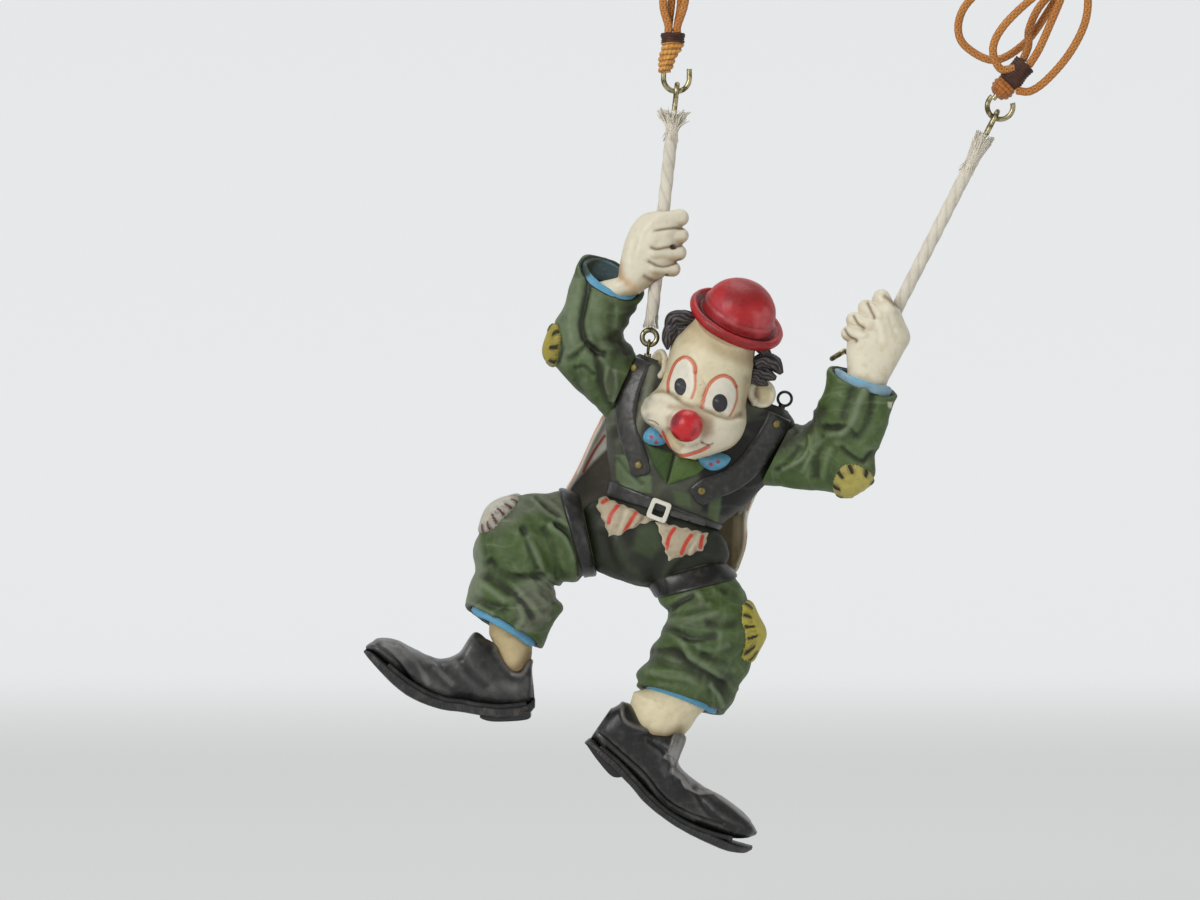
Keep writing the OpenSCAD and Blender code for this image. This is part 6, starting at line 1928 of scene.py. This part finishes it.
def make_head():
    skin_paint = bpy.data.materials["skin_paint_and_shade"]
    form = FORMS["skull"]
    face = canvas(form.grid(244, 280), tone(216, 205, 172), ((SHADED_CREAM, 0.4, 7, 3), (CREAM, 0.5, 5, 5)))
    left_arc = [-5.3, -184.4, -4.4, -179.2, -2, -173.6, 1.3, -171.2, 4.1, -171.7, 6.2, -174.5, 6.5, -177.5]
    left_fall = [6.5, -177.5, 6.4, -183.9, 4.9, -188.2]
    right_arc = [9.3, -191.5, 10.7, -185.8, 13.5, -181.1, 17.8, -178.8, 21.6, -180.2, 23.7, -183.5]
    right_fall = [23.7, -183.5, 23.9, -187.7, 23, -191.5, 21.4, -195.3]
    muzzle = [-13, -186.5, -11, -185, -7, -184.8, -3, -186.5, 1, -189.5, 5, -191, 8, -191.5, 12, -193.5, 17, -195.5,
        22, -196.5, 26, -195]
    mouth = [-7.2, -202.3, -5.3, -206.6, -3.4, -210.3, -0.6, -212.2, 2.2, -212.4, 6, -211.3, 8.8, -210.3, 12.1, -208.5]
    left_arc, left_fall, right_arc, right_fall, muzzle, mouth = (
        even_path(np.reshape(line, (-1, 2)), 0.8)[0]
        for line in (left_arc, left_fall, right_arc, right_fall, muzzle, mouth)
    )
    # Painted shade on the faces that turn down
    face.tint(tone(184, 160, 116), 0.7 * smooth_step(-0.2, -0.9, face.out[..., 2]))
    face.area(tone(218, 211, 190), 0.7, [*muzzle, (27, -203), (18, -210), (4, -216), (-10, -206), (-18, -196)], 2.5)
    for arc, fall in ((left_arc, left_fall), (right_arc, right_fall)):
        face.area(EYE_WHITE, 0.8, np.vstack([arc, fall]), 0.8, 0.3)
        face.paint(OUTLINE, 0.95, 0.75, arc, soft=0.5, lift=-0.22)
        face.paint(tone(232, 160, 122), 0.7, 0.25, arc, soft=0.3, lift=0.15)
        face.paint(OUTLINE, 0.75, 0.5, fall, soft=0.6, lift=-0.15)
        face.paint(BROWN * 0.8, 0.3, 0.3, arc + [0.5, 0.3])
    face.folds((1.5, -1.1, muzzle), (1.8, 0.7, muzzle - [0.5, 2.6]), (2.0, 0.5, [3, -172, 6, -180, 7, -187]))
    # Painted shade along the crease above the muzzle
    face.paint(BROWN, 0.3, 1.0, muzzle)
    face.paint(BROWN * 0.9, 0.45, 0.45, [-13.5, -187, -16, -190, -17, -194, -15, -198, -11, -200])
    face.paint(tone(128, 124, 122), 0.5, 1.4, [-12.5, -189, -14.5, -192], [-13.5, -195.5, -14.5, -197])
    face.paint(BROWN * 0.6, 0.7, 0.3, [-13.5, -197.5, -11, -198, -9, -199.4], lift=-0.2)
    face.area(SKIN_SHADE, 0.7, [-5, -192, 2, -190, 9, -192.5, 14, -197, 14, -203, 9, -206, 8, -197, 0, -194], 3.5)
    face.area(SKIN_SHADE, 0.5, [-6, -196, -3, -194, -3, -206, -6, -204], 2)
    face.folds((1.4, -1.0, [-4.5, -202, -2.5, -206, 0, -208.8, 4, -209, 9, -207]))
    face.area(OCHRE * 0.85, 0.85, [-6.6, -202.5, -3.5, -202, -1, -205.5, 2, -208, 0, -211, -3, -209.4, -5, -206], 0.8)
    face.paint(OUTLINE, 0.95, 0.62, mouth, soft=0.4, lift=0.2)
    face.paint(DARK_RED, 0.6, 0.25, mouth + [-0.1, 0.7])
    face.paint(BROWN * 0.7, 0.6, 0.35, [9, -207.2, 12.4, -207.9, 13.8, -207.2], lift=-0.3)
    face.paint(SKIN_SHADE, 0.55, 2.4, [5, -157, 10, -162, 16, -167, 24, -171, 31, -172.5])
    face.paint(SKIN_SHADE, 0.5, 1.6, [-3, -161, -5, -170, -7, -176], [28, -180, 27, -190, 26, -196])
    face.paint(BROWN * 0.7, 0.4, 0.25, [9.5, -181, 10.3, -182.2], [8.2, -183, 9, -182.4])
    # Painted shade on the forehead under the brim of the hat
    face.area(tone(186, 168, 130), 0.65, [-2, -158, 6, -155, 14, -160, 24, -167, 33, -171, 30, -176, 16, -170,
        6, -166, 0, -166], 4)
    carve(face, 5.0, 0.16)
    face.wash_shade_and_highlight(4, 0.55, 0.2, 0.35, BROWN * 0.7, CREAM)
    flat = to_hat(face.raised())
    flat[..., 2] = np.minimum(flat[..., 2], 0.9)
    piece("painted_head", Skin().add(from_hat(flat), face.colour), skin_paint, "head")

    ears = Skin()
    for at, (x, y, z), radius, crease in (
        ((-8, -4.9, -175), (80, -14, -62), 7.2, [-8, -173, -9.5, -176, -8.5, -179]),
        ((33.6, -8, -186.5), (80, 6, 18), 6.2, [32, -185, 32.5, -188, 31, -190.5]),
    ):
        outer = [[0.1, 0], [radius - 1.5, 0.6], [radius - 0.4, 0.4], [radius, 1.2], [radius - 0.3, 2.2]]
        inner = [[radius - 1.4, 2.4], [radius - 2.6, 1.6], [radius * 0.35, 1.3], [0.1, 1.4]]
        rows = np.linspace(0, 8, 84)
        shell = turned(curve(np.array(outer + inner), rows), 120)
        made = canvas(spun(shell, x, y, z) + at, tone(206, 192, 152), ((SHADED_CREAM, 0.4, 3, 3), (BROWN, 0.2, 3, 7)))
        made.folds((1.0, 0.7, crease))
        # Painted shade in the hollow of the ear
        made.paint(BROWN, 0.85, 1.5, np.reshape(crease, (-1, 2)) + [-0.6 if radius < 7 else 1.2, 0])
        carve(made, 3.0, 0.16)
        made.wash_shade_and_highlight(3, 0.7, 0.3, 0.3, BROWN * 0.6, CREAM)
        # A painted highlight on the rim
        rim = smooth_step(2, 3.5, rows)[:, None] * smooth_step(6.4, 5.4, rows)[:, None]
        made.tint(CREAM, 0.7 * np.broadcast_to(rim, made.colour.shape[:2]))
        ears.lay(made)
    piece("carved_ears", ears, skin_paint, "ears")

    # The nose is a half circle turned round
    a = np.linspace(-math.pi / 2 + 0.01, math.pi / 2 - 0.01, 110)
    ball = turned(np.stack([6.8 * np.cos(a), 6.8 * np.sin(a)], 1), 150, (2, -42, -200))
    nose = canvas(ball, tone(190, 22, 28), ((DARK_RED, 0.4, 4, 3),))
    nose.paint(tone(92, 36, 50), 0.75, 2.0, [-2.6, -198.4, -1.6, -195.8], lift=-0.1)
    # A painted highlight
    nose.paint(PINK, 0.45, 1.2, [7, -198, 7.4, -201])
    nose.paint(DARK_RED, 0.6, 0.5, [5, -203.5, 7, -201], [-3, -203, -1, -205], lift=-0.2)
    carve(nose, 2.6, 0.14)
    lacquer = painted("red_paint", 0.4, 0.3, 0, 0.2, 0.16, 0.4)
    piece("red_nose", nose.skin(), lacquer, "nose")

    pupils = Skin()
    for x, z, wide, tall in ((-0.1, -183.7, 2.5, 3.6), (15.9, -190.5, 3.2, 3.8)):
        def place(u, v):
            """A square drawn in to an oval: each side times the root of one less half the other's square."""
            a, b = np.broadcast_arrays(2 * u - 1, 2 * v - 1)
            spot = np.stack([a * np.sqrt(1 - b * b / 2) * wide, b * np.sqrt(1 - a * a / 2) * tall], -1)
            return form.place(spot + [x, z])

        points, _ = pillow(form, place, 44, 44, 0.6, 0.2, (8, 8))
        made = canvas(points, PUPIL, ((tone(84, 84, 88), 0.5, 2.4, 3), (BLACK, 0.5, 2, 5)))
        # A painted glint
        made.paint(tone(150, 150, 150), 0.4, 0.4, [(x - 0.9, z + 1.4), (x - 0.2, z + 1.1)])
        pupils.plate(made)
    black = painted("pupil_paint", 0.5, 0.1, 0, 0.2, 0.2)
    piece("painted_pupils", pupils, black, "pupils")


class MakeHead(Make):
    """The head with its painted face, and its ears, nose and pupils"""

    bl_idname = "toy.head"
    bl_label = "Head and face"

    def execute(self, context):
        make_head()
        return {"FINISHED"}


def tuft(path, widths, seed):
    """A pointed lock of carved hair: a tube whose radius is grooved as |sin| of ten times the angle,
    twisted along its length."""
    path, _ = even_path(path, 0.4)
    u = np.linspace(0, 1, len(path))[:, None]
    t = turns(48)[None]
    wander = 0.7 * np.sin(9 * u + 2 * t + seed)
    grooves = np.abs(np.sin(5 * t + 3 * u + seed + wander + 0.5 * np.sin(3 * t - 13 * u))) ** 0.6
    radius = np.interp(u[:, 0], np.linspace(0, 1, len(widths)), widths)[:, None]
    points = round_the_path(path, radius * (0.84 + 0.16 * grooves), 48)
    lit = smooth_step(0.55, 1.0, grooves) * (0.7 + 0.5 * rough(points, 2, seed))
    return points, mix(tone(20, 18, 19), tone(96, 89, 88), np.clip(lit, 0, 1))


def make_hair():
    skin = Skin()
    for i, y in enumerate((-13, -9, -5, -1, 3)):
        for path, widths in (
            ([(6, y, -155.5), (1.5, y - 1, -154.8), (-3.2, y - 1, -155.4), (-5.6, y, -159.5)], (2.6, 3.4, 3.2, 1.2)),
            ([(-1.6, y, -157), (-4.2, y, -160.5), (-5.2, y, -164), (-5.2, y + 0.5, -167.8)], (2.6, 3.3, 2.6, 0.5)),
            ([(2.5, y + 1, -158.5), (-0.6, y + 1, -160.5), (-2.8, y + 1, -163.8)], (3.0, 3.2, 1.2)),
        ):
            skin.add(*tuft(path, widths, i))
    for i, y in enumerate((-12, -7.5, -3, 1, 5)):
        for path, widths in (
            ([(31, y, -174), (35, y, -172.6), (39.2, y, -173.8), (42.6, y, -178)], (2.6, 3.6, 3.2, 0.7)),
            ([(30, y + 1, -177.5), (34.5, y + 1, -178), (40, y, -180)], (2.6, 3.4, 0.9)),
            ([(29.5, y + 1, -180), (33, y + 1, -181), (36.6, y, -183)], (2.0, 2.6, 0.6)),
        ):
            skin.add(*tuft(path, widths, i + 7))
    for y in (-13.5, -10.5):
        skin.add(*tuft([(31, y, -165.5), (34.5, y, -168), (38, y + 2, -172)], (2.2, 2.6, 1.0), y))
    hair = painted("hair_paint", 0.42, 0.15, 0, 0.2, 0.2)
    piece("carved_hair", skin, hair, "hair")


class MakeHair(Make):
    """Dark locks of carved hair on both sides, under the brim of the hat"""

    bl_idname = "toy.hair"
    bl_label = "Hair"

    def execute(self, context):
        make_hair()
        return {"FINISHED"}


def make_hat(toy):
    top, red = 20.6, np.array(toy.hat_colour)
    # The profile: out under the brim, round its curled edge, back to the band and up a round crown
    brim = [
        (0.1, 0), (CROWN - 4, 0.1), (CROWN + 1.5, 0), (BRIM - 1.6, 0.6), (BRIM - 0.4, 1.8), (BRIM, 3.4),
        (BRIM - 0.6, 4.8), (BRIM - 1.8, 5.1), (BRIM - 2.9, 4.3), (CROWN + 1.1, 3.4), (CROWN + 0.3, 4.4),
    ]
    dome = [(CROWN * math.cos(a) + 0.1, 7 + (top - 7) * math.sin(a)) for a in np.linspace(0, math.pi / 2, 9)]
    rows = np.array(brim + dome)
    profile = curve(rows, np.linspace(0, len(rows) - 1, 180))
    points = from_hat(turned(profile, 320))
    hat = canvas(points, red, ((DARK_RED, 0.35, 9, 3),))
    high = np.broadcast_to(np.linspace(0, len(rows) - 1, 180)[:, None], hat.height.shape)
    band = smooth_step(9.4, 9.9, high) * smooth_step(11.6, 11.2, high)
    hat.height += 0.5 * band
    hat.tint(DARK_RED, 0.45 * band)
    # Painted highlights on the crown
    hat.paint(tone(186, 70, 80), 0.55, 3.6, [16, -148, 17, -153], [33, -160, 36, -156])
    hat.area(tone(118, 10, 16), 0.6, [19, -142, 25, -138, 33, -141, 34, -147, 26, -150, 19, -148], 4)
    hat.area(tone(206, 92, 96), 0.5, [31, -152, 37, -152, 38, -161, 32, -164], 3)
    # Painted shade inside the brim on the left
    hat.paint(tone(84, 66, 66), 0.7, 1.6, [7, -145, 11, -147])
    # Painted shade in the gutter between brim and crown, and painted highlights on the curled lip
    gutter = smooth_step(8.0, 8.8, high) * smooth_step(10.2, 9.4, high)
    hat.tint(tone(74, 26, 30), 0.8 * gutter)
    lip = smooth_step(4.4, 5.0, high) * smooth_step(7.4, 6.8, high)
    hat.tint(tone(196, 70, 74), 0.4 * lip * (0.6 + 0.6 * rough(points, 4, 5)))
    # Painted highlights, and a painted shadow where the crown meets the brim
    hat.paint(PINK, 0.6, 1.4, [21, -155, 23, -156], [36, -151, 37, -153])
    hat.paint(DARK_RED, 0.6, 1.2, [8, -150, 12, -156.5, 18, -161.5, 28, -165.5, 37, -165])
    carve(hat, 5.0, 0.2)
    hat.wash_shade_and_highlight(4, 0.7, 0.4, 0.3, tone(70, 26, 30), tone(206, 120, 116))
    felt = painted("hat_paint", 0.44, 0.16, 0, 0.2, 0.16, 0.35)
    piece("red_bowler_hat", hat.skin(), felt, "hat")


class MakeHat(Make):
    """The red bowler hat: a profile turned round, its brim curled up on both sides"""

    bl_idname = "toy.hat"
    bl_label = "Bowler hat"

    def execute(self, context):
        make_hat(context.scene.toy)
        return {"FINISHED"}


class ToySettings(bpy.types.PropertyGroup):
    """What a user would change about the toy."""

    rope_width: bpy.props.FloatProperty(
        name="Rope width", description="Width of the two laid cotton ropes", default=0.0055, min=0.004, max=0.0058,
        unit="LENGTH",
    )
    thread_pitch: bpy.props.FloatProperty(
        name="Thread pitch", description="Distance between the printed threads of the cloth, in mm", default=0.62,
        min=0.3, max=2.0,
    )
    cloth_colour: bpy.props.FloatVectorProperty(
        name="Cloth", description="Paint of the jacket and trousers", subtype="COLOR", size=3, min=0, max=1,
        default=tuple(GREEN),
    )
    hat_colour: bpy.props.FloatVectorProperty(
        name="Hat", description="Paint of the hat", subtype="COLOR", size=3, min=0, max=1, default=tuple(RED),
    )
    key_light: bpy.props.FloatProperty(
        name="Key light", description="Power of the large lamp on the left", default=KEY_POWER, min=0, unit="POWER",
    )


def pale_paper():
    """The pale paper of floor and backdrop. The camera, mirrors and glass see it glow in a colour that
    is darker on the near floor and lighter further back and up, over a little of the light and shadow that falls on it."""
    f = Finish("pale_paper")
    place = [f.node("ShaderNodeSeparateXYZ", {}, {"Vector": f.place}, k) for k in (0, 1, 2)]
    back = place[1].part(1.15, 2.85)
    low = f.blend(rgba(PAPER_NEAR), rgba(PAPER_FAR), back)
    seen = f.blend(low, rgba(PAPER_TOP), place[2].part(-0.3, 0.5))
    rays = [f.node("ShaderNodeLightPath", {}, {}, k) for k in ("Is Camera Ray", "Is Glossy Ray", "Is Transmission Ray")]
    share = (rays[0] + rays[1] + rays[2]) * 0.86
    paper = f.node("ShaderNodeBsdfDiffuse", {}, {"Color": rgba(PAPER_FAR)})
    glow = f.node("ShaderNodeEmission", {}, {"Color": seen})
    return f.end(f.node("ShaderNodeMixShader", {}, {0: share, 1: paper, 2: glow}))


def make_stage(toy):
    scene = bpy.context.scene
    # The floor runs back, bends up through a quarter circle and goes on as the backdrop
    bend = np.linspace(0, math.pi / 2, 24)
    y = np.concatenate([[-3.2], FLOOR_END + FLOOR_BEND * np.sin(bend), [FLOOR_END + FLOOR_BEND]])
    z = np.concatenate([[FLOOR_AT], FLOOR_AT + FLOOR_BEND * (1 - np.cos(bend)), [3.6]])
    x = np.array([-4.0, 4.0])
    points = np.stack([*np.broadcast_arrays(x[None], y[:, None], z[:, None])], -1) / MM
    skin = Skin().add(points[:, ::-1], tone(226, 226, 226), closed=False, caps=(False, False))
    floor = bpy.data.objects.new("pale_floor", skin.mesh("pale_floor"))
    scene.collection.objects.link(floor)
    floor.data.materials.append(pale_paper())

    sky = Finish("studio", bpy.data.worlds.new("studio"))
    eye = sky.node("ShaderNodeLightPath", {}, {}, "Is Camera Ray")
    glow = sky.blend(rgba(np.array(SKY) * SKY_STRENGTH), rgba(PAPER_TOP), eye)
    sky.node("ShaderNodeOutputWorld", {}, {"Surface": sky.node("ShaderNodeBackground", {}, {"Color": glow})})
    scene.world = sky.material
    for name, power, size, at in (
        ("key", toy.key_light, 1.1, (-1.15, -1.55, 0.75)),
        ("fill", toy.key_light * 0.34, 1.6, (1.6, -1.6, -0.1)),
        ("top", toy.key_light * 0.3, 1.0, (0.1, 0.25, 1.25)),
    ):
        lamp = bpy.data.lights.new(name, "AREA")
        lamp.energy, lamp.size = power, size
        holder = bpy.data.objects.new(name, lamp)
        holder.location = at
        aim = mathutils.Vector((0.0, 0.0, -0.2)) - holder.location
        holder.rotation_euler = aim.to_track_quat("-Z", "Y").to_euler()
        scene.collection.objects.link(holder)

    lens = bpy.data.cameras.new("front")
    lens.sensor_width = FILM_WIDTH
    lens.lens = FILM_WIDTH * -EYE[1] / SEEN_WIDTH
    lens.clip_end = 50
    camera = bpy.data.objects.new("front", lens)
    camera.location = EYE * MM
    camera.rotation_euler = (math.pi / 2, 0, 0)
    scene.collection.objects.link(camera)
    scene.camera = camera
    scene.view_settings.view_transform = "Standard"


class MakeStage(Make):
    """A pale floor that turns up into a backdrop, three soft lamps, a pale world and the camera"""

    bl_idname = "toy.stage"
    bl_label = "Floor, lamps and camera"

    def execute(self, context):
        make_stage(context.scene.toy)
        return {"FINISHED"}


class ToyPanel(bpy.types.Panel):
    """Lists the steps in making the toy"""

    bl_idname = "VIEW3D_PT_toy"
    bl_label = "Clown Toy"
    bl_space_type = "VIEW_3D"
    bl_region_type = "UI"
    bl_category = "Toy"

    def draw(self, context):
        for field in ToySettings.__annotations__:
            self.layout.prop(context.scene.toy, field)
        for step in STEPS:
            self.layout.operator(step.bl_idname)


STEPS = (
    MakeStage, MakeLines, MakeBindings, MakeRopes, MakeWires, MakeSleeves, MakeTrousers, MakeJacket, MakeShirt,
    MakeShoes, MakeHands, MakeHead, MakeHair, MakeHat,
)


def register():
    for made in (ToySettings, *STEPS, ToyPanel):
        bpy.utils.register_class(made)
    bpy.types.Scene.toy = bpy.props.PointerProperty(type=ToySettings)


def unregister():
    del bpy.types.Scene.toy
    for made in (ToyPanel, *reversed(STEPS), ToySettings):
        bpy.utils.unregister_class(made)


def main():
    """Makes the toy step by step."""
    register()
    for step in STEPS:
        area, name = step.bl_idname.split(".")
        getattr(getattr(bpy.ops, area), name)()


if __name__ == "__main__":
    main()
